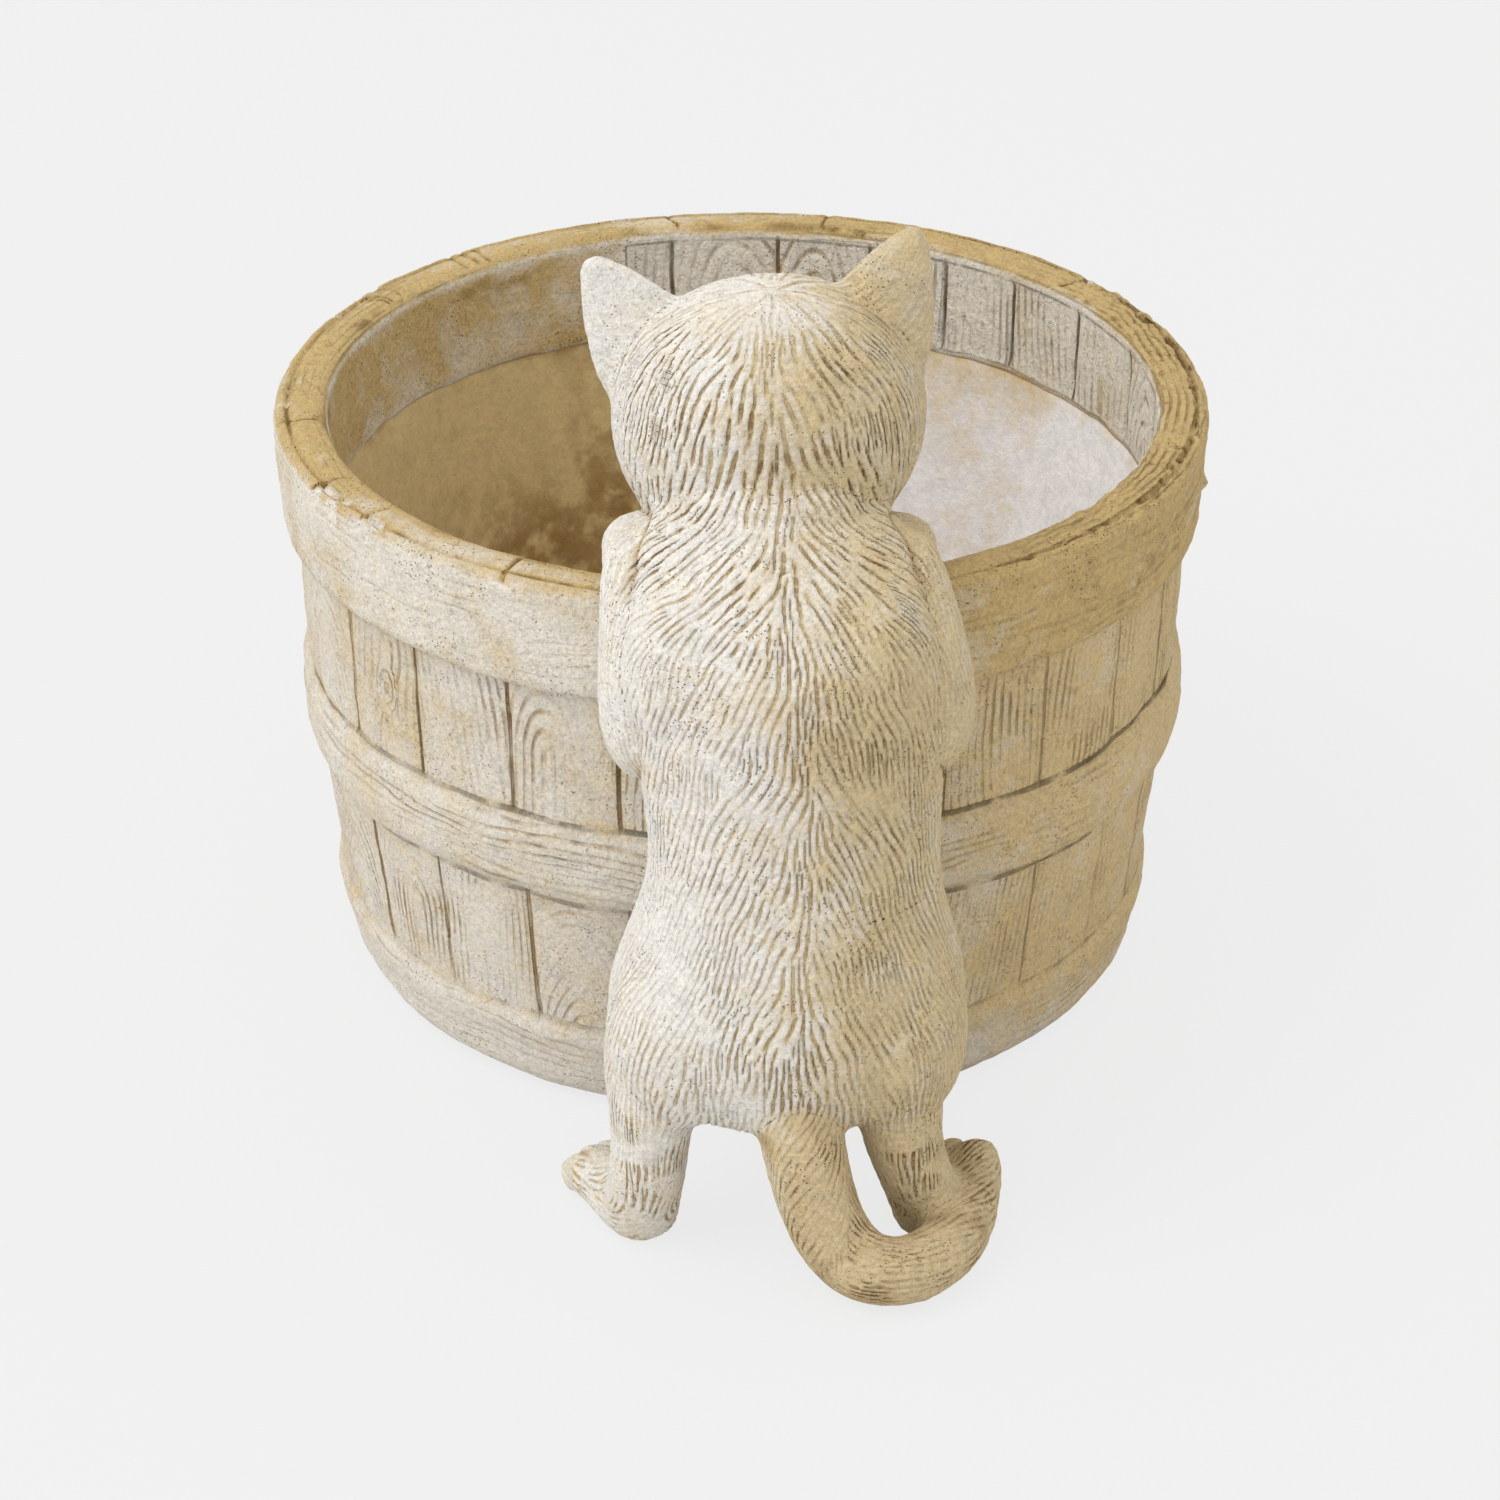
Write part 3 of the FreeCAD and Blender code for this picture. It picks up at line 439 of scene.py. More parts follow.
cracks = np.zeros(len(points))
dice = np.random.default_rng(9)
for start in [146.6, 131.4, -152, -141, -118, *dice.uniform(-180, 180, 9)]:
    off = ((angle - start + 180) % 360 - 180) * math.radians(1) * radius + 1.8 * lumps(points, 7, 42)
    cracks = np.maximum(cracks, near(off, 0, 0.7) * between(radius, 126, 141, 4) * crown)
chips = soft_step(lumps(points, 5, 43), 0.1, 0.4) * (radius > 134)
chips *= between(angle, -153, -134, 4) * between(height, 175, 183, 3)
chips = np.maximum(chips, 0.6 * soft_step(lumps(points, 5, 49), 0.55, 0.75) * crown * (radius > 133))
nub = near(np.hypot((angle - NUB_ANGLE) * DEGREE_AT_RIM, height - NUB_HEIGHT), 0, 2.2) * (inward < 0)
carved = -0.45 * line - 1.1 * seam * inner - 0.8 * cracks - 1.2 * chips + 2 * nub
carved += inner * (dice.uniform(-0.2, 0.2, STAVES)[stave] - 0.3 * (across / 15) ** 2)
carved += rough(points, (0.4, 26, 44), (0.2, 7, 45), (0.12, 3, 46)) - 0.25
carved += rough_end * (rough(points, (0.7, 2.6, 50), (0.5, 7, 54)) - 0.3)
points = points + normals * carved[:, None]
ledge = between(height, 140, 149, 2) * (radius < 126.2)
points[:, 2] -= ledge * (0.7 + rough(points * (1, 1, 0), (0.6, 8, 80), (0.5, 21, 81)))
write_points(tub_rim, points)
lip = near(radius, LIP_LINE, 0.9) * crown
# Painted shadow along the rim's lower edge, where it overhangs the wall.
foot = near(height, 146.5, 1.6) * broken_up(points, 0.5, 0.6, (16, 16, 40), 73)
inner_edge = near(radius, INNER_EDGE, 3.2) * crown
plaster = inside_wall * plastered
# Painted shade with the wash: the outer faces darker and warmer towards the right, away from the lamp.
stain = 0.2 + 0.8 * soft_step(points[:, 0], *AWAY_FROM_LIGHT) * (inward < 0.3)
stain += 0.75 * crown * (1 - 0.3 * (points[:, 1] > 60) - 0.4 * soft_step(-points[:, 1], 60, 110))
stain += 0.3 * inner_edge + plaster * (0.3 + 0.4 * soft_step(angle % 360, 112, 165))
stain += rough(points, (0.3, 34, 74), (0.22, 11, 75))
stain -= 0.3 * inner + 0.9 * chips + 0.25 * rough_end
recess = cracks + 0.9 * lip * broken_up(points, 0.7, 0.8, 15, 76) + 0.5 * foot
# Dirt and painted shade along the rounded inner edge of the rim, stronger on the left.
recess += 0.75 * inner_edge * broken_up(points, 0.45, 1, 12, 77) * (1 - 0.6 * (points[:, 0] > 40))
recess += plaster * (0.1 + rough(points, (0.2, 14, 88), (0.2, 5, 89)))
# Dirt and painted shade in a band on the plastered wall just below the rim's inner edge.
recess += 0.4 * plaster * near(height, 173, 4) * broken_up(points, 0.6, 1, 14, 84)
recess += 0.5 * hoop * soft_step(points[:, 0], 30, 110) * broken_up(flat, 0.4, 1, 8, 85)
recess += 0.6 * rough_end * soft_step(-rough(points, (1, 2.6, 50), (0.5, 7, 54)), 0.1, 0.8)
keep_values(tub_rim, count=count, lines=lines, seam=beside_seam, near_seam=inner * (to_seam < SEAM_REACH),
            recess=np.clip(recess - chips, 0, 1), stain=stain)
to_metres(tub_rim)
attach(tub_rim, "root")
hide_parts("tub")

# The bowl inside the tub and the underside that it stands on, with the drain hole through the floor.
# The same casting again; the bowl is trowelled smooth, so it has only dents and a little roughness.
LEDGE = 144
bowl_round = rounded((78, 52), 34, 0, -90, 14)
bowl_outline = (
    along([(8.5, 0), (60, 0), (107.5, 0)], 6)
    + along([(107.5, 0), (112, 10), (118, 40), (125, 100), (127.3, 144), (124.4, 144.4)], 12)[1:]
    + along([(124.4, 144.4), (123.5, 143.4), (118, 97), bowl_round[0]], 2.4)[1:]
    + bowl_round[1:]
    + along([bowl_round[-1], (40, 17.6), (9, 17.6), (8, 16.8), (8, 0.6)], 3)[1:]
)
tub_bowl = turn("tub_bowl", bowl_outline, 360)
points, normals = read_points(tub_bowl)
height, radius, _ = around(points)
inside = (height > 17) * ((radius < 119) | (height > 97)) * between(radius, 12, 200, 4)
carved = inside * (rough(points, (0.9, 42, 51), (0.35, 15, 52), (0.1, 5, 53)) - 0.3)
points = points + normals * (carved * (radius < 123.5))[:, None]
write_points(tub_bowl, points)
# The bowl's left part is darker and browner than its right: stain, and painted shade where its wall faces
# away from the lamp.
right_side = soft_step(points[:, 0] + 20 * lumps(points, 42, 90), -35, 50)
wall_of_bowl = soft_step(height, 24, 55)
# Painted shadow under the rim's ledge: a soft band down the wall here, and a darker line at the ledge in the
# recess values.
stain = 1.2 - 1.35 * right_side + rough(points, (0.3, 45, 55), (0.25, 17, 56)) + 0.5 * near(height, LEDGE, 11)
stain += 0.35 * soft_step(-points[:, 1], -10, 60) * soft_step(-points[:, 0], -55, 25)
# Dirt and painted shade on the bowl's left part, stronger low down on its wall and floor.
dirt_and_shade = 0.2 + rough(points, (0.18, 18, 86), (0.1, 6, 87))
dirt_and_shade += 0.25 * wall_of_bowl * soft_step(points[:, 0], -110, -10)
dirt_and_shade += (0.1 + 0.4 * wall_of_bowl) * soft_step(-height + 6 * lumps(points, 30, 82), -128, -70)
recess = 0.35 * near(height, LEDGE, 2.5) * broken_up(points, 0.5, 1, 20, 57) + (1 - right_side) * dirt_and_shade
none = np.zeros(len(points))
keep_values(tub_bowl, count=none, lines=none, seam=none + 9, near_seam=none,
            recess=np.clip(recess, 0, 1), stain=stain)
to_metres(tub_bowl)
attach(tub_bowl, "root")
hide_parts("tub")


# The kitten: cast stone, standing on its hind legs against the tub with its paws and head over the rim.
# Each part is shaped as a loft, the parts are run together, and the coat is carved along its lie.
def local_places(points, turn, move):
    """Points as a form's own rings see them, before the form was turned and moved."""
    matrix = Euler([math.radians(angle) for angle in turn]).to_matrix()
    return (points - np.array(move)) @ np.array(matrix)


class Loft:
    """A closed form through level oval rings: x, y, height, half width and half depth."""

    def __init__(self, node, rings, turn=(0, 0, 0), move=(0, 0, 0)):
        self.node, self.rings, self.turn, self.move = node, np.array(rings, float), turn, move

    def shape(self):
        bpy.ops.mesh.primitive_circle_add(vertices=40, radius=1)
        bpy.ops.object.mode_set(mode="EDIT")
        for index, (x, y, z, wide, deep) in enumerate(self.rings):
            if index:
                bpy.ops.mesh.primitive_circle_add(vertices=40, radius=1)
            bpy.ops.transform.resize(value=(wide, deep, 1), center_override=(0, 0, 0))
            bpy.ops.transform.translate(value=(x, y, z))
        bpy.ops.mesh.select_all(action="SELECT")
        bpy.ops.mesh.bridge_edge_loops()
        bpy.ops.mesh.select_all(action="DESELECT")
        bpy.ops.mesh.select_non_manifold()
        bpy.ops.mesh.fill_holes(sides=0)
        bpy.ops.mesh.select_all(action="SELECT")
        bpy.ops.mesh.normals_make_consistent(inside=False)
        bpy.ops.object.mode_set(mode="OBJECT")
        soft = bpy.context.object.modifiers.new("soft", "SUBSURF")
        soft.levels = soft.render_levels = 1
        bpy.ops.object.modifier_apply(modifier="soft")

    def outside(self, points):
        """How far points lie outside the form, in millimetres, and less than 0 inside it."""
        x, y, z = local_places(points, self.turn, self.move).T
        height = np.clip(z, self.rings[0, 2], self.rings[-1, 2])
        middle_x, middle_y, wide, deep = (np.interp(height, self.rings[:, 2], self.rings[:, column])
                                          for column in (0, 1, 3, 4))
        share = np.hypot((x - middle_x) / wide, (y - middle_y) / deep)
        return (share - 1) * np.minimum(wide, deep) + np.abs(z - height)


class Ball:
    """A muscle or a pad: a sphere drawn out to three half sizes."""

    def __init__(self, node, move, halves, turn=(0, 0, 0)):
        self.node, self.move, self.halves, self.turn = node, move, halves, turn

    def shape(self):
        bpy.ops.mesh.primitive_uv_sphere_add(segments=32, ring_count=20, radius=1)
        bpy.context.object.scale = self.halves
        bpy.ops.object.transform_apply(scale=True)

    def outside(self, points):
        share = np.linalg.norm(local_places(points, self.turn, self.move) / np.array(self.halves), axis=1)
        return (share - 1) * min(self.halves)


class Tail:
    """The tail: round, along a smooth line through x, y, z and radius at each place."""

    node, turn, move = "tail", (0, 0, 0), (0, 0, 0)

    def __init__(self, places):
        self.places = np.array(places, float)

    def shape(self):
        bpy.ops.curve.primitive_nurbs_path_add()
        tail = bpy.context.object
        tail.data.splines.clear()
        line = tail.data.splines.new("NURBS")
        line.points.add(len(self.places) - 1)
        for point, (x, y, z, radius) in zip(line.points, self.places):
            point.co = (x, y, z, 1)
            point.radius = radius
        line.order_u, line.use_endpoint_u, line.resolution_u = 3, True, 10
        tail.data.dimensions = "3D"
        tail.data.bevel_depth, tail.data.bevel_resolution = 1, 8
        tail.data.use_fill_caps = True
        bpy.ops.object.convert(target="MESH")

    def nearest(self, points):
        """Each point's distance outside the tail, and the way the tail runs beside it."""
        outside, ways = np.full(len(points), 1e9), np.zeros((len(points), 3))
        for start, end in zip(self.places, self.places[1:]):
            run = end[:3] - start[:3]
            part = np.clip((points - start[:3]) @ run / (run @ run), 0, 1)
            away = np.linalg.norm(points - start[:3] - part[:, None] * run, axis=1)
            away -= start[3] + (end[3] - start[3]) * part
            closer = away < outside
            outside[closer], ways[closer] = away[closer], run / np.linalg.norm(run)
        return outside, ways

    def outside(self, points):
        return self.nearest(points)[0]


HIPS_X, HEAD_X, HEAD_Z = 12.5, 7.5, 221
HEAD_TILT, TRUNK_WAIST, LOWEST, HIGHEST = -5.5, 112, 0.05, 271.4
LEFT, RIGHT = -1, 1
HEEL_OUT, HEEL_Y, SPLAY = 41, -177, {LEFT: 27, RIGHT: 21}
ARM_OUT, PAW_Y = 34, -142


def ear_place(side):
    """The turn and the root of an ear, which leans out and tilts with the head."""
    out, up, tilt = side * 25.5, 8, math.radians(HEAD_TILT)
    root_x = HEAD_X + out * math.cos(tilt) + up * math.sin(tilt)
    root_z = HEAD_Z - out * math.sin(tilt) + up * math.cos(tilt)
    return (0, side * 25 + HEAD_TILT, 0), (root_x, -98, root_z)


tail = Tail([
    (13, -175, 74, 12.2), (14, -184.5, 60, 12.2), (16, -192.5, 47, 11.9), (18.5, -197, 35.5, 11.5),
    (21.5, -199.5, 25, 11.1), (26, -202, 15.2, 10.7), (31.5, -205.5, 10.8, 10.2), (38.5, -208.8, 9.8, 9.7),
    (47, -207.2, 9.5, 9.4), (55, -200, 9.3, 9.2), (61.2, -188.5, 9, 9), (64, -176, 9, 8.8),
    (66.2, -166.5, 11.5, 8.2), (66.8, -161, 14.6, 7.4), (66.6, -157.6, 17, 5.2),
])
forms = [
    tail,
    Loft("kitten_body", [
        (12.5, -165.8, 37, 16, 12.5), (12.5, -165.8, 41, 32.5, 24), (12.5, -165, 49.5, 44, 32.8),
        (12.5, -165, 62.4, 49.9, 37), (12.5, -165, 75.5, 50.2, 38.4), (13.5, -163.5, 90.4, 46.3, 37),
        (14.5, -161.2, 106.1, 40, 35), (14.5, -160.4, 122.8, 39.8, 33.5), (13.5, -158.9, 140.3, 41.2, 32.4),
        (12.5, -158.2, 161.3, 42.4, 32), (10.5, -155.9, 178.8, 42.2, 31.8), (9.5, -148.3, 191.9, 39.8, 29.5),
        (8.5, -136.9, 202.4, 35.5, 25.8), (7.5, -124.7, 212, 28, 18),
    ]),
    Loft("kitten_head", [
        (0, 0, -43.4, 11, 10), (0, 0, -40, 23.5, 21.5), (0, 0, -31.8, 34.6, 31.8), (0, 0, -18.9, 41.4, 38.4),
        (0, 0, -4.3, 43.4, 40), (0, 1.6, 8.6, 42.2, 38.2), (0, 4, 18.9, 36.8, 33), (0, 8.5, 27, 28, 25),
        (0, 13, 34.5, 19.4, 17), (0, 14.2, 41, 13.2, 10.8), (0, 14.2, 42.8, 6, 5),
    ], (-90, HEAD_TILT, 0), (HEAD_X, -100, HEAD_Z)),
    Ball("kitten_head", (HEAD_X, -56.5, 210), (4, 3, 3)),
    Ball("kitten_body", (8.5, -138.5, 209), (24, 10, 9.5)),
]
for side, name in ((LEFT, "left"), (RIGHT, "right")):
    forms.append(Loft(f"{name}_ear", [
        (-side, 0, -12, 17.5, 8.6), (-side, 0, 0, 18.6, 8), (0, 0, 14.7, 16.6, 7),
        (0, 0, 25.2, 12.6, 5.6), (0, 0, 34.4, 8.4, 4.4), (side * 0.4, 0, 40.5, 4.8, 3.2),
        (side * 0.6, 0, 43.4, 2.4, 1.9),
    ], *ear_place(side)))
    arm, leg = f"{name}_foreleg", f"{name}_hind_leg"
    forms.append(Loft(arm, [
        (HIPS_X - 5 * (1 - out) + side * (ARM_OUT + out * 4), y, z, wide, deep) for out, y, z, wide, deep in (
            (0.7, -150.5, 135.6, 4.5, 6.2), (0.8, -151, 139.2, 8.6, 10.6), (0.95, -152.5, 146.6, 11.9, 14.8),
            (1, -152.5, 155.5, 13, 16), (0.9, -152.5, 165.9, 13, 16.2), (0.7, -149, 177, 12.4, 16.2),
            (0.3, -142.9, 188, 11.8, 15.2), (0.1, -137.2, 196.4, 10.4, 12.2), (0, -134, 200.6, 7, 8),
        )]))
    forms.append(Loft(arm, [
        (0, (drop - 0.45) * 20, run * 36, wide, deep) for run, wide, deep, drop in (
            (0, 9.8, 8.8, 0), (0.12, 11, 10, 0), (0.4, 11.2, 10.2, 0), (0.65, 11.6, 9.8, 0.06),
            (0.85, 10.8, 8.4, 0.2), (0.96, 8, 5.8, 0.34), (1, 4.6, 3.2, 0.4),
        )], (-90, 0, 0), (HEAD_X + side * ARM_OUT, PAW_Y, 181)))
    forms.append(Loft(leg, [
        (HIPS_X - 3 * (1 - out) + side * (34 + out * 7), y, z, wide, deep) for out, y, z, wide, deep in (
            (1, -175.8, 0, 9.5, 7.4), (1, -175.8, 5.8, 10.8, 9.8), (0.8, -177, 13.7, 11, 11.6),
            (0.4, -178.6, 23.8, 10.9, 11.8), (0.15, -178, 33.8, 11.2, 13.4), (0, -175, 43.9, 12.6, 17.2),
            (-0.1, -170, 56.2, 14.2, 22.4), (-0.2, -165, 72, 14.2, 23.6),
        )]))
    heel, turn_of_foot = (HIPS_X + side * HEEL_OUT, HEEL_Y), -side * SPLAY[side]
    forms.append(Loft(leg, [
        (0, -0.9 * deep, ahead, wide, deep) for ahead, wide, deep in (
            (-5.6, 4.4, 3.8), (-3.2, 8.4, 6.9), (2.4, 11.4, 9.2), (12.2, 10.8, 8.7), (22.1, 12.2, 8.3),
            (28.4, 11.8, 7.2), (32.2, 8.6, 5.2), (33.8, 5, 3),
        )], (-90, 0, turn_of_foot), (*heel, 0)))
    splay = math.radians(SPLAY[side])
    ahead = np.array((side * math.sin(splay), math.cos(splay)))
    for toe in (-1.5, -0.5, 0.5, 1.5):
        tip = np.array(heel) + ahead * (29.5 - abs(toe) * 1.8) + np.array((ahead[1], -ahead[0])) * toe * 5.6
        forms.append(Ball(leg, (*tip, 5), (3.4, 6.2, 4.9), (0, 0, turn_of_foot)))
        claw = (HEAD_X + side * ARM_OUT + toe * 5.2, PAW_Y + 32.5 - abs(toe) * 1.5, 181)
        forms.append(Ball(arm, claw, (3.2, 5.2, 5.4)))
    forms.append(Ball("kitten_head", (HEAD_X + side * 24, -82, 208), (16, 18, 15)))
    forms.append(Ball("kitten_head", (HEAD_X + side * 6, -61.5, 204.5), (8.5, 7, 7)))
    forms.append(Ball("kitten_head", (HEAD_X + side * 15.5, -71.5, 221), (6.6, 4.5, 6.2)))
    forms.append(Ball("kitten_body", (HIPS_X + side * 29, -171, 66), (21, 27, 29)))
    forms.append(Ball("kitten_body", (10.5 + side * 24, -158, 172), (19, 24, 26)))

shaped = []
for form in forms:
    form.shape()
    lump = bpy.context.object
    lump.rotation_euler = [math.radians(angle) for angle in form.turn]
    lump.location = form.move
    bpy.ops.object.transform_apply(location=True, rotation=True, scale=True)
    shaped.append(lump)
bpy.ops.object.select_all(action="DESELECT")
for lump in shaped:
    lump.select_set(True)
bpy.ops.object.join()
kitten = bpy.context.object
for voxel, passes in ((1.5, 4), (0.66, 3)):
    skin = kitten.modifiers.new("skin", "REMESH")
    skin.mode, skin.voxel_size = "VOXEL", voxel
    bpy.ops.object.modifier_apply(modifier="skin")
    smooth = kitten.modifiers.new("smooth", "SMOOTH")
    smooth.factor, smooth.iterations = 0.5, passes
    bpy.ops.object.modifier_apply(modifier="smooth")
points, normals = read_points(kitten)
edges = read_all(kitten.data.edges, "vertices", 2, np.int64)
corners = read_all(kitten.data.loops, "vertex_index", 1, np.int64).reshape(-1, 4)
pairs = np.concatenate([edges, corners[:, [0, 2]], corners[:, [1, 3]]])
here, there = np.concatenate([pairs, pairs[:, ::-1]]).T
here, there = here[np.argsort(here, kind="stable")], there[np.argsort(here, kind="stable")]
first_here = np.searchsorted(here, np.arange(len(points)))
nodes_of_kitten = list(dict.fromkeys(form.node for form in forms))
outside = {node: np.min([form.outside(points) for form in forms if form.node == node], axis=0)
           for node in nodes_of_kitten}
owner = np.argmin([outside[node] for node in nodes_of_kitten], axis=0)


def blur(values, passes, strength=np.ones(len(here))):
    """Each point's value mixed with its neighbours', some times over."""
    total = np.add.reduceat(strength, first_here)
    for _ in range(passes):
        values = 0.25 * values + 0.75 * np.add.reduceat(strength * values[there], first_here) / total
    return values


def share_of(*nodes, edge=3):
    """1 on those parts of the kitten, 0 on the others, and smooth between."""
    inner = np.min([outside[node] for node in nodes], axis=0)
    outer = np.min([outside[node] for node in nodes_of_kitten if node not in nodes], axis=0)
    return soft_step(outer - inner, -edge, edge)


def ways_of(across, ahead, up):
    """A direction for each point, from its three parts."""
    return np.stack([part + np.zeros(len(points)) for part in (across, ahead, up)], axis=1)


# The lie of the coat: a fan from the crown, another from the nape, and then down and away from the spine
x, y, z = points.T
on_head = share_of("kitten_head", edge=6)
on_ear = share_of("left_ear", "right_ear", edge=5)
on_arm = share_of("left_foreleg", "right_foreleg")
on_leg = share_of("left_hind_leg", "right_hind_leg", edge=6)
on_tail = share_of("tail")
on_foot = on_leg * soft_step(-z, -17, -9)
spine = np.interp(z, (40, 75, 100, 120, 150, 175, 190, 205, 225, 240),
                  (15, 16.5, 18.5, 19, 17.5, 15.5, 14, 11, 8.5, 8))
off_spine = x - spine + 2.5 * lumps(points, 13, 58)
heights = (45, 60, 80, 95, 110, 130, 150, 165, 180, 192, 203, 212, 222, 235, 250)
fan = np.interp(z, heights, (
    0.12, 0.12, 0.15, 0.14, 0.12, 0.12, 0.13, 0.19, 0.22, 0.3, 0.45, 0.42, 0.25, 0.42, 0.45))
brush = np.interp(z, heights[:9], (0.1, 0.15, 0.25, 0.3, 0.3, 0.3, 0.25, 0.15, 0.1))
tiers = 1 + 0.2 * np.sin(z * 2 * math.pi / 27 + 0.8 * lumps(points, 30, 60))
away = np.abs(off_spine)
on_cheek = soft_step(z, 200, 212)
slope = fan * (1 - np.exp(-away / 5)) * (0.7 + away / 40 + on_cheek * (0.3 - away / 23))
slope += brush * tiers * away / 8 * np.exp(1 - away / 8)
slope *= np.where(off_spine > 0, 1 - 0.05 * soft_step(-z, -195, -175), -1)
down = normals * normals[:, 2:] - np.array((0, 0, 1))
down /= np.linalg.norm(down, axis=1)[:, None] + 1e-3
way = down + slope[:, None] * np.cross(normals, down)
from_crown = points - np.array((8.1, -111, 259))
from_crown /= np.linalg.norm(from_crown, axis=1)[:, None] + 1e-9
ear_way = ways_of(0.45 * np.sign(x - 8.5), 0, 1)
arm_way = ways_of(0.12 * np.sign(x - 10), -0.35, -1)
leg_way = ways_of(0.1 * np.sign(x - HIPS_X), 0, -1)
tail_way = tail.nearest(points)[1] + 0.8 * ways_of(np.sign(x - 30), 0, 0)
foot_way = ways_of(0.5 * np.sign(x - HIPS_X), 1, 0)
for share, other in ((on_head * soft_step(z, 244, 254), from_crown),
                     (on_head * soft_step(y, -104, -90), from_crown), (on_ear, ear_way), (on_arm, arm_way),
                     (on_leg, leg_way), (on_foot, foot_way), (on_tail, tail_way)):
    way = way + (other - way) * share[:, None]
way += 0.3 * ways_of(lumps(points, 10, 61), lumps(points, 10, 62), 0.5 * lumps(points, 10, 63))
way -= normals * np.sum(way * normals, axis=1)[:, None]
way = np.stack([blur(part, 8) for part in way.T], axis=1)
way -= normals * np.sum(way * normals, axis=1)[:, None]
way /= np.linalg.norm(way, axis=1)[:, None] + 1e-9
step = points[there] - points[here]
step /= np.linalg.norm(step, axis=1).mean()
beside = np.sum(step * np.cross(normals, way)[here], axis=1)
ahead = np.sum(step * way[here], axis=1)
combed = np.full(len(here), 1e-4)
for forward in (1, -1):
    angle = np.arctan2(beside * forward, ahead * forward)
    chosen, off = {}, {}
    for turned in (1, -1):
        swing = np.where(angle * turned >= 0, np.abs(angle), 9.0)
        chosen[turned] = (swing == np.minimum.reduceat(swing, first_here)[here]) & (swing < 1.6)
        off[turned] = np.add.reduceat(np.abs(beside) * chosen[turned], first_here)
    whole = off[1] + off[-1] + 1e-6
    combed += chosen[1] * (off[-1] / whole)[here] + chosen[-1] * (off[1] / whole)[here]


def strands(seed, width, rounds, passes):
    """Ridges and grooves that follow the coat: below -1 in a groove, above 1 on a ridge."""
    coat = np.random.default_rng(seed).normal(size=len(points))
    for _ in range(rounds):
        coat = blur(np.tanh(1.3 * coat / coat.std()), passes, combed)
        coat = coat - blur(coat, width)
    return coat / coat.std()


fine = strands(71, 2, 8, 4)
broad = strands(72, 6, 8, 7)
long_coat = on_head * (1 - on_ear) * soft_step(-y, 78, 100)
collar = near(z, 200, 13) * soft_step(-y, 118, 130)
middle_of_head = 0.45 + 0.55 * near(x, 11, 24)
bold = np.clip(long_coat * middle_of_head + 0.75 * collar, 0, 1) * soft_step(lumps(points, 14, 66), -1, 0)
coat = 0.75 * broad * bold + fine * (1 - 0.45 * bold)
cut = soft_step(-coat, 0.3, 0.95)
flank = soft_step(np.abs(off_spine), 20, 36) * (z > 55) * (z < 190)
smooth_waist = near(x, -20, 13) * near(z, 95, 20)
depth = 0.62 + 0.22 * bold
depth *= 1 - 0.25 * flank - 0.4 * smooth_waist
depth *= (1 - 0.88 * on_ear) * (1 - 0.42 * on_arm) * (1 - 0.3 * on_leg) * (1 - 0.3 * on_tail)
patches = soft_step(-lumps(points, 5.5, 79), -0.4, 0)
depth *= 1 - 0.93 * np.clip(on_leg + 0.55 * on_tail + 0.45 * on_arm, 0, 1) * patches
depth *= 1 - 0.6 * soft_step(z, 246, 258) * (1 - on_ear)
depth *= 1 - 0.75 * soft_step(y, -88, -76)
depth *= 0.75 + 0.35 * lumps(points, 11, 67)
carved = 0.22 * depth - depth * cut + 0.08 * depth * coat + 0.12 * lumps(points, 1.7, 78)
carved += 0.35 * lumps(points, 17, 64) * (1 - 0.7 * on_ear) + rough(points, (0.1, 2.4, 65), (0.1, 5, 59))
for side, ear in ((LEFT, "left_ear"), (RIGHT, "right_ear")):
    across, _, up = local_places(points, *ear_place(side)).T
    half = np.interp(up, (0, 14.7, 25.2, 34.4, 43.4), (18, 16, 12, 7.8, 2))
    hollow = soft_step(1 - np.abs(across) / half, 0.12, 0.6) * soft_step(normals[:, 1], 0.2, 0.8)
    carved -= 3.4 * hollow * between(up, 6, 38, 9) * (outside[ear] < 4)
to_side, muzzle = x - HEAD_X, soft_step(y, -74, -68)
face = near(z - 0.03 * to_side**2, 200.5, 0.9) * between(to_side, -11, 11, 3) * muzzle
face = np.maximum(face, near(to_side, 0, 0.8) * between(z, 200.5, 206.5, 1) * muzzle)
for side in (LEFT, RIGHT):
    eye_x = to_side - side * 15.5
    off_eye = np.hypot(eye_x / 6.6, (z - 221.5 - 0.2 * side * eye_x) / 4.1)
    face = np.maximum(face, near(off_eye, 1, 0.17) * soft_step(y, -86, -78))
    nostril = near(to_side, side * 1.8, 0.9) * near(z, 209.5, 0.8)
    face = np.maximum(face, nostril * soft_step(y, -60, -56))
carved -= 0.9 * face
toe_x, toe_y = x - HIPS_X - HEEL_OUT * np.sign(x - HIPS_X), y - HEEL_Y
splay = np.radians(np.where(x < HIPS_X, -SPLAY[LEFT], SPLAY[RIGHT]))
toe_side = toe_x * np.cos(splay) - toe_y * np.sin(splay)
toe_ahead = toe_x * np.sin(splay) + toe_y * np.cos(splay)
slits = np.max([near(toe_side, gap, 0.9) for gap in (-5.6, 0, 5.6)], axis=0)
slits = slits * on_foot * between(toe_ahead, 14, 31, 5)
carved -= 1.6 * slits
seam_of_parts = np.sort([outside[node] for node in nodes_of_kitten], axis=0)
fold = near(seam_of_parts[1], seam_of_parts[0], 1.6)
arm_edge = share_of("left_foreleg", "right_foreleg", edge=5)
fold *= np.clip(4 * arm_edge * (1 - arm_edge), 0, 1) * (0.2 + 0.8 * soft_step(np.abs(z - 168), 18, 28))
carved -= 0.8 * fold
points = points + normals * carved[:, None]
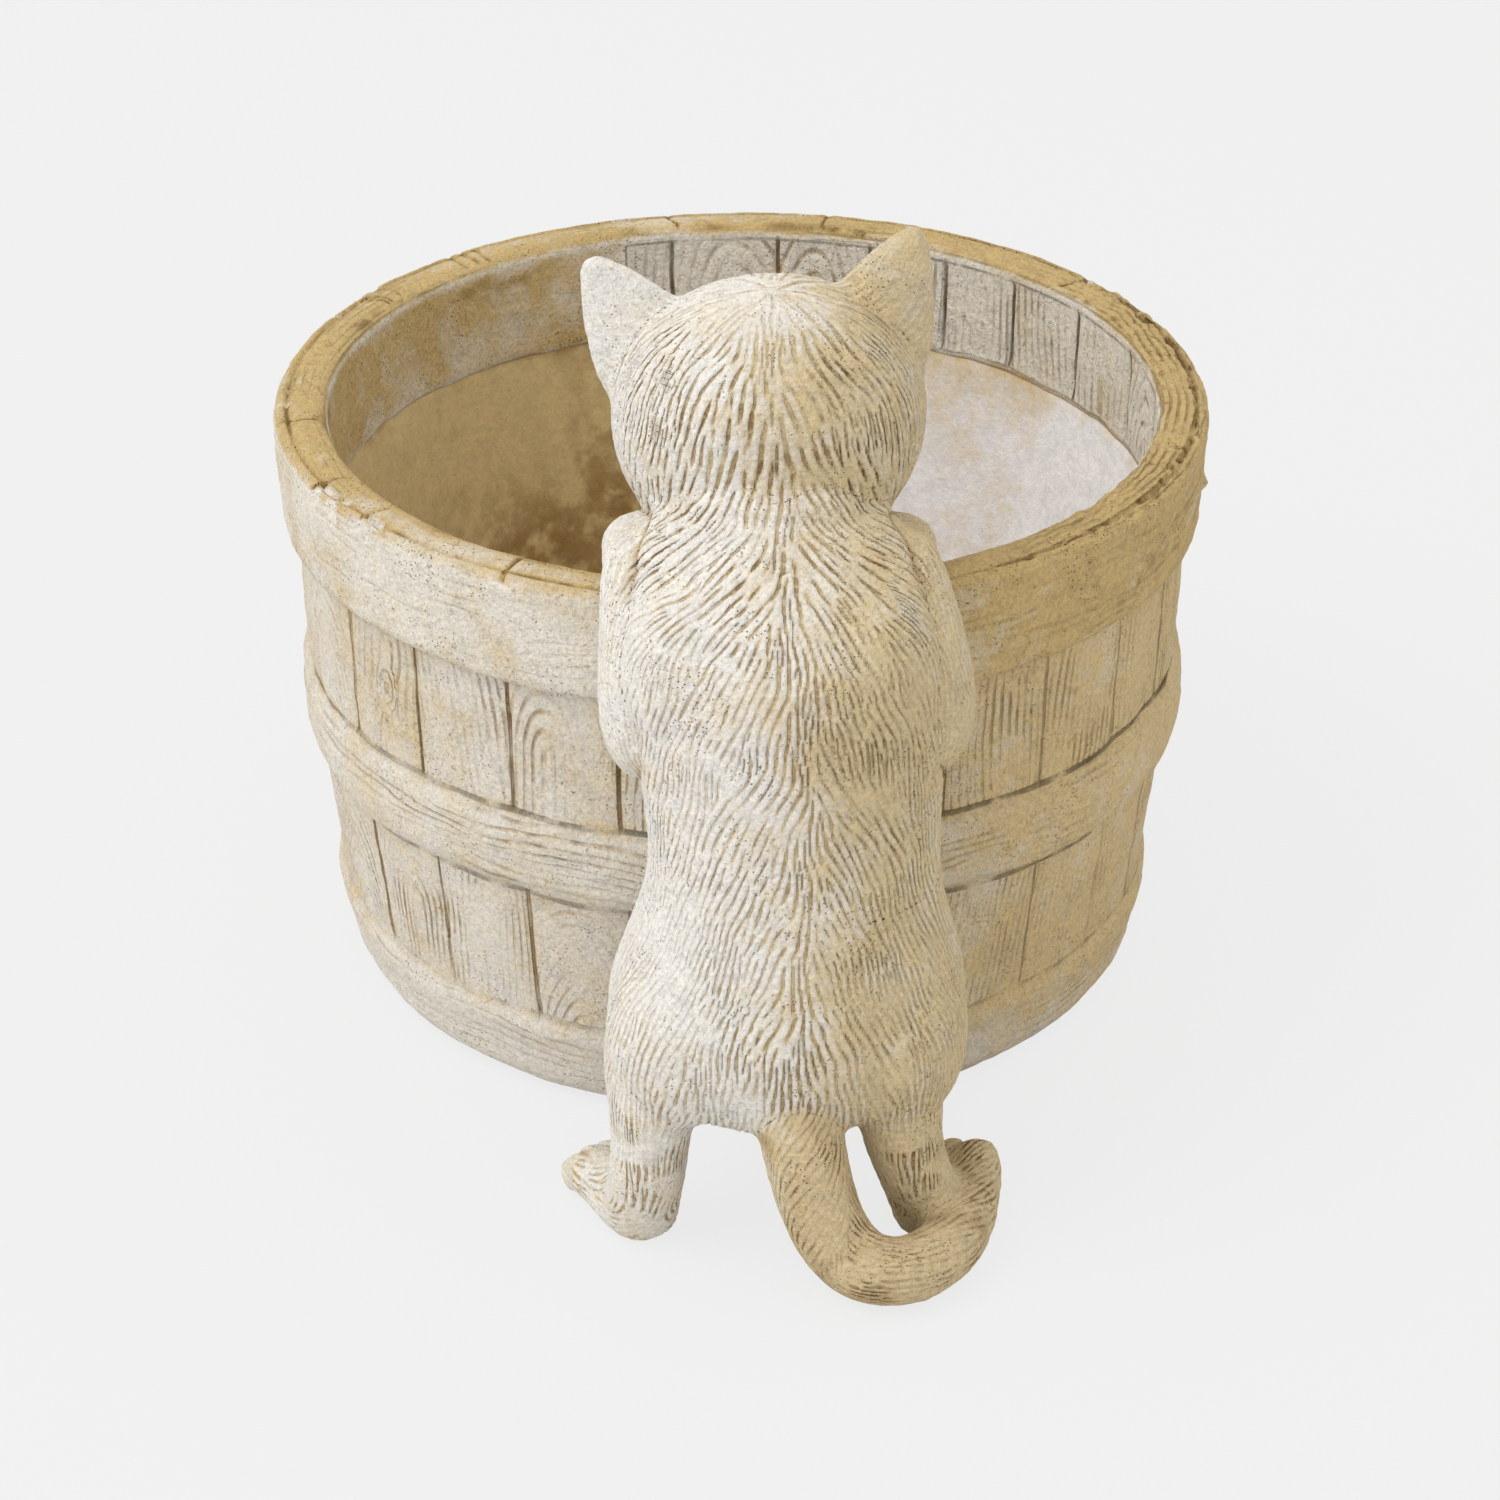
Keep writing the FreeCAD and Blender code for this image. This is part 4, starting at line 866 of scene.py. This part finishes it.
points[:, 2] = np.clip(points[:, 2], LOWEST, HIGHEST)
write_points(kitten, points)
grime = on_tail * broken_up(points, 0.22, 0.4, 8, 91) + on_leg * np.clip(0.5 * lumps(points, 9, 92), 0, 0.4)
# Painted shade with the wash: the kitten darker and warmer towards its right, away from the lamp.
stain = 0.04 + 0.93 * soft_step(x - 0.02 * (z - 150) + 9 * lumps(points, 24, 68), -8, 42)
stain += 0.12 * soft_step(-z, -110, -60)
stain -= 0.2 * soft_step(-z, -130, -70) * (1 - on_tail) * soft_step(x, -5, 15) * soft_step(-x, -38, -20)
stain += 0.22 * soft_step(-z, -45, 0) * (0.6 + 0.6 * lumps(points, 18, 69)) + 0.5 * on_tail
stain += 0.35 * near(x, 34, 13) * near(z, 168, 20) + 0.15 * lumps(points, 9, 70)
stain += 0.45 * on_head * between(z, 205, 256, 12) * near(x, 12, 22) - 0.25 * smooth_waist
# The recess values: wash in the toe slits and the face's lines, painted shade in the creases beside the
# forelegs, and grime.
keep_values(kitten, coat=coat, depth=np.clip(depth * (1 + 0.5 * on_leg + 0.3 * on_tail), 0, 1.2),
            recess=np.clip(0.8 * slits + 0.6 * fold + 0.6 * face + grime, 0, 1), stain=stain)

# The casting is parted where the solids are, and each part is closed at its joint. The trunk is also parted
# at its waist, because as one mesh it would have too many faces.
bpy.ops.object.shade_smooth()
_, facing = read_points(kitten)
layer = kitten.data.attributes.new(name="facing", type="FLOAT_VECTOR", domain="POINT")
layer.data.foreach_set("vector", facing.astype(np.float32).ravel())
votes = owner[corners]
face_owner = votes[:, 0].copy()
for index in range(len(nodes_of_kitten)):
    face_owner[np.sum(votes == index, axis=1) >= 3] = index
below_waist = points[corners[:, 0], 2] < TRUNK_WAIST
face_owner[(face_owner == nodes_of_kitten.index("kitten_body")) & below_waist] = len(nodes_of_kitten)
kitten.data.materials.clear()
for node in [*nodes_of_kitten, "kitten_haunches"]:
    kitten.data.materials.append(bpy.data.materials.new(f"{node}_mark"))
kitten.data.polygons.foreach_set("material_index", face_owner.astype(np.int32))
bpy.ops.object.mode_set(mode="EDIT")
bpy.ops.mesh.separate(type="MATERIAL")
bpy.ops.object.mode_set(mode="OBJECT")
castings = list(bpy.context.selected_objects)
for casting in castings:
    marks = [slot.material for slot in casting.material_slots]
    node = marks[casting.data.polygons[0].material_index].name.replace("_mark", "")
    bpy.ops.object.select_all(action="DESELECT")
    casting.select_set(True)
    bpy.context.view_layer.objects.active = casting
    skin_faces = len(casting.data.polygons)
    bpy.ops.object.mode_set(mode="EDIT")
    bpy.ops.mesh.select_all(action="DESELECT")
    bpy.ops.mesh.select_non_manifold()
    bpy.ops.mesh.fill_holes(sides=0)
    bpy.ops.object.mode_set(mode="OBJECT")
    facing = read_all(casting.data.attributes["facing"].data, "vector", 3, np.float32)
    loop_normals = facing[read_all(casting.data.loops, "vertex_index", 1, np.int64)[:, 0]]
    for lid in casting.data.polygons[skin_faces:]:
        loop_normals[lid.loop_start:lid.loop_start + lid.loop_total] = lid.normal
    casting.data.normals_split_custom_set(loop_normals)
    casting.data.materials.clear()
    casting.name = f"carved_{node}"
    to_metres(casting)
    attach(casting, "root")
    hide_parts("kitten_body" if node == "kitten_haunches" else node)


# Cast stone finish: ivory cement with an ochre wash that stays in the grooves and in blotches.
# Fine pits and dust are in every part of it; each part has its own colours. Its stain and recess values carry
# painted shade as well as the wash, and on the kitten a painted highlight.
def colour(*parts):
    """A colour as a paint chart gives it, 0 to 255, for the renderer."""
    parts = [part / 255 for part in parts]
    return (*(part / 12.92 if part <= 0.04045 else ((part + 0.055) / 1.055) ** 2.4 for part in parts), 1)


def cast_stone_group():
    """The finish itself: in, its colours, wash, dirt and painted shade; out, its colour, roughness and
    height.
    """
    tree = bpy.data.node_groups.new("cast_stone", "ShaderNodeTree")
    for way_through, kind, names in (
            ("INPUT", "NodeSocketColor", ("Stone", "Wash", "Dark")),
            ("INPUT", "NodeSocketFloat", ("Stain_and_shade", "Recess", "Pits")),
            ("OUTPUT", "NodeSocketColor", ("Color",)),
            ("OUTPUT", "NodeSocketFloat", ("Roughness", "Height"))):
        for name in names:
            tree.interface.new_socket(name=name, in_out=way_through, socket_type=kind)
    wire = Wiring(tree)
    given = wire.add("NodeGroupInput").outputs
    stain, recess, pits = given["Stain_and_shade"], given["Recess"], given["Pits"]
    place = wire.place()
    cloud, mottle = wire.noise(place, 26, 6, 0.65), wire.noise(place, 120, 5, 0.65)
    grit, dust = wire.noise(place, 330, 4, 0.7), wire.noise(place, 900, 2, 0.7)
    pit_size = wire.add("ShaderNodeTexVoronoi", {"Vector": place, "Scale": 760}).outputs["Distance"]
    pit = wire.product(wire.span(pit_size, 0.22, 0.08), wire.span(wire.noise(place, 70, 4), 0.48, 0.62), pits)
    speck = wire.product(wire.span(grit, 0.57, 0.72), wire.span(mottle, 0.35, 0.65), pits, 0.75)
    spread = wire.sum(wire.span(cloud, 0.26, 0.74, -0.2, 0.2), wire.span(mottle, 0.28, 0.72, -0.22, 0.22))
    base = wire.mix(wire.sum(spread, stain, wire.product(recess, 0.8)), given["Stone"], given["Wash"])
    vein = wire.math("ABSOLUTE", wire.math("SUBTRACT", wire.noise(place, 85, 6, 0.62), 0.5))
    vein = wire.product(wire.span(vein, 0.028, 0.004), wire.span(cloud, 0.42, 0.6), pits, 0.2)
    base = wire.mix(wire.sum(wire.span(recess, 0.2, 1.0, 0, 0.9), pit, speck, vein), base, given["Dark"])
    grey = wire.sum(0.97, wire.product(wire.span(dust, 0.3, 0.7, -0.15, 0.1), pits),
                    wire.span(grit, 0.3, 0.7, -0.08, 0.06), wire.span(mottle, 0.3, 0.7, -0.05, 0.05))
    height = wire.sum(wire.product(dust, 0.35), wire.product(grit, 1.1), wire.product(mottle, 0.8),
                      wire.product(pit, -0.9))
    wire.add("NodeGroupOutput", {"Color": wire.mix(1.0, base, grey, "MULTIPLY"),
                                 "Roughness": wire.span(mottle, 0.3, 0.7, 0.82, 0.95), "Height": height})
    return tree


cast_stone = cast_stone_group()


def finished(wire, stain, recess, line, pits, colours, depth):
    """The end of each stone material: the cast stone finish, its bumps, and the shader."""
    inputs = {"Stain_and_shade": stain, "Recess": recess, "Pits": pits, **dict(zip(("Stone", "Wash", "Dark"), colours))}
    finish = wire.add("ShaderNodeGroup", inputs, node_tree=cast_stone).outputs
    wire.shade({"Base Color": finish["Color"], "Roughness": finish["Roughness"], "Specular IOR Level": 0.2,
                "Normal": wire.bump(wire.math("SUBTRACT", finish["Height"], line), depth)})


def tub_finish(name, pits, depth, *colours):
    """Cast stone with the wash in its carved grain and its seams, and the dirt and painted shade of its
    recess values.
    """
    material, wire = new_material(name)
    place = wire.place()
    off_line = wire.math("ABSOLUTE", wire.math("SUBTRACT", wire.math("FRACT", wire.kept("count")), 0.5))
    broken = wire.span(wire.noise(place, 75, 5, 0.65), 0.36, 0.58, 0.1, 1.0)
    line = wire.product(wire.span(off_line, 0.24, 0.02), wire.kept("lines"), broken)
    off_seam = wire.math("ABSOLUTE", wire.kept("seam"))
    open_here = wire.span(wire.noise(place, 60, 3), 0.3, 0.6, 0.55, 1.0)
    seam = wire.product(wire.span(off_seam, 0.75, 0.3), wire.kept("near_seam"), open_here)
    edge = wire.product(wire.kept("recess"), wire.span(wire.noise(place, 130, 4), 0.25, 0.6, 0.35, 1.0))
    carved = wire.math("MAXIMUM", wire.product(line, 0.62), wire.product(seam, 0.78))
    recess = wire.math("MAXIMUM", carved, edge)
    finished(wire, wire.kept("stain"), recess, wire.sum(wire.product(line, 0.7), seam), pits, colours, depth)
    return material


for ring, material in (
        (tub_wall, tub_finish("wall_stone", 0.8, 0.0011,
                              colour(223, 217, 206), colour(205, 182, 137), colour(128, 98, 58))),
        (tub_rim, tub_finish("rim_stone", 0.9, 0.0011,
                             colour(226, 220, 208), colour(196, 170, 118), colour(112, 82, 43))),
        (tub_bowl, tub_finish("bowl_stone", 0.25, 0.0005,
                              colour(243, 243, 247), colour(206, 182, 132), colour(136, 102, 50)))):
    ring.data.materials.append(material)

kitten_stone, wire = new_material("kitten_stone")
place = wire.place()
coat, depth, stain = wire.kept("coat"), wire.kept("depth"), wire.kept("stain")
broken = wire.span(wire.noise(place, 420, 3), 0.3, 0.6, 0.15, 1.0)
uneven = wire.span(wire.noise(place, 45, 4), 0.3, 0.6, 0.6, 1.0)
line = wire.product(wire.span(coat, -0.35, -1.05), broken, depth, uneven)
dirt = wire.product(line, wire.span(stain, 0.0, 0.7, 1.0, 1.45))
# Painted highlight: the coat's ridges lighter, while the grooves take more wash.
wash_shade_and_highlight = wire.sum(stain, wire.product(wire.span(coat, 0.2, 1.3), -0.25),
                 wire.product(wire.span(coat, -0.15, -0.75), depth, 0.9))
finished(wire, wash_shade_and_highlight, wire.sum(dirt, wire.kept("recess")), wire.product(line, 1.1), 0.8,
         (colour(234, 231, 225), colour(207, 188, 149), colour(142, 106, 62)), 0.0011)
for casting in castings:
    casting.data.materials.append(kitten_stone)

# The mortar between the castings, and the steel rods and wire that stiffen the legs and the tail.
# They are hidden in the photograph, so they have a plain sandy grey and a brushed finish.
mortar, wire = new_material("mortar")
sand = wire.noise(wire.place(), 700, 4, 0.7)
wire.shade({"Base Color": wire.mix(sand, colour(158, 150, 136), colour(206, 199, 184)), "Roughness": 0.95,
            "Normal": wire.bump(sand, 0.0005, 0.8)})

steel, wire = new_material("steel")
along_rod = wire.add("ShaderNodeMapping", {"Vector": wire.place(), "Scale": (900, 900, 40)}).outputs["Vector"]
brushed = wire.noise(along_rod, 1, 3)
wire.shade({"Base Color": wire.mix(brushed, colour(150, 152, 155), colour(188, 190, 192)), "Metallic": 1.0,
            "Roughness": wire.span(brushed, 0.2, 0.8, 0.28, 0.5)})
for name, material in (("chest_mortar", mortar), ("paw_mortar", mortar),
                       ("left_leg_rod", steel), ("right_leg_rod", steel), ("tail_wire", steel)):
    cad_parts[name].data.materials.clear()
    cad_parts[name].data.materials.append(material)
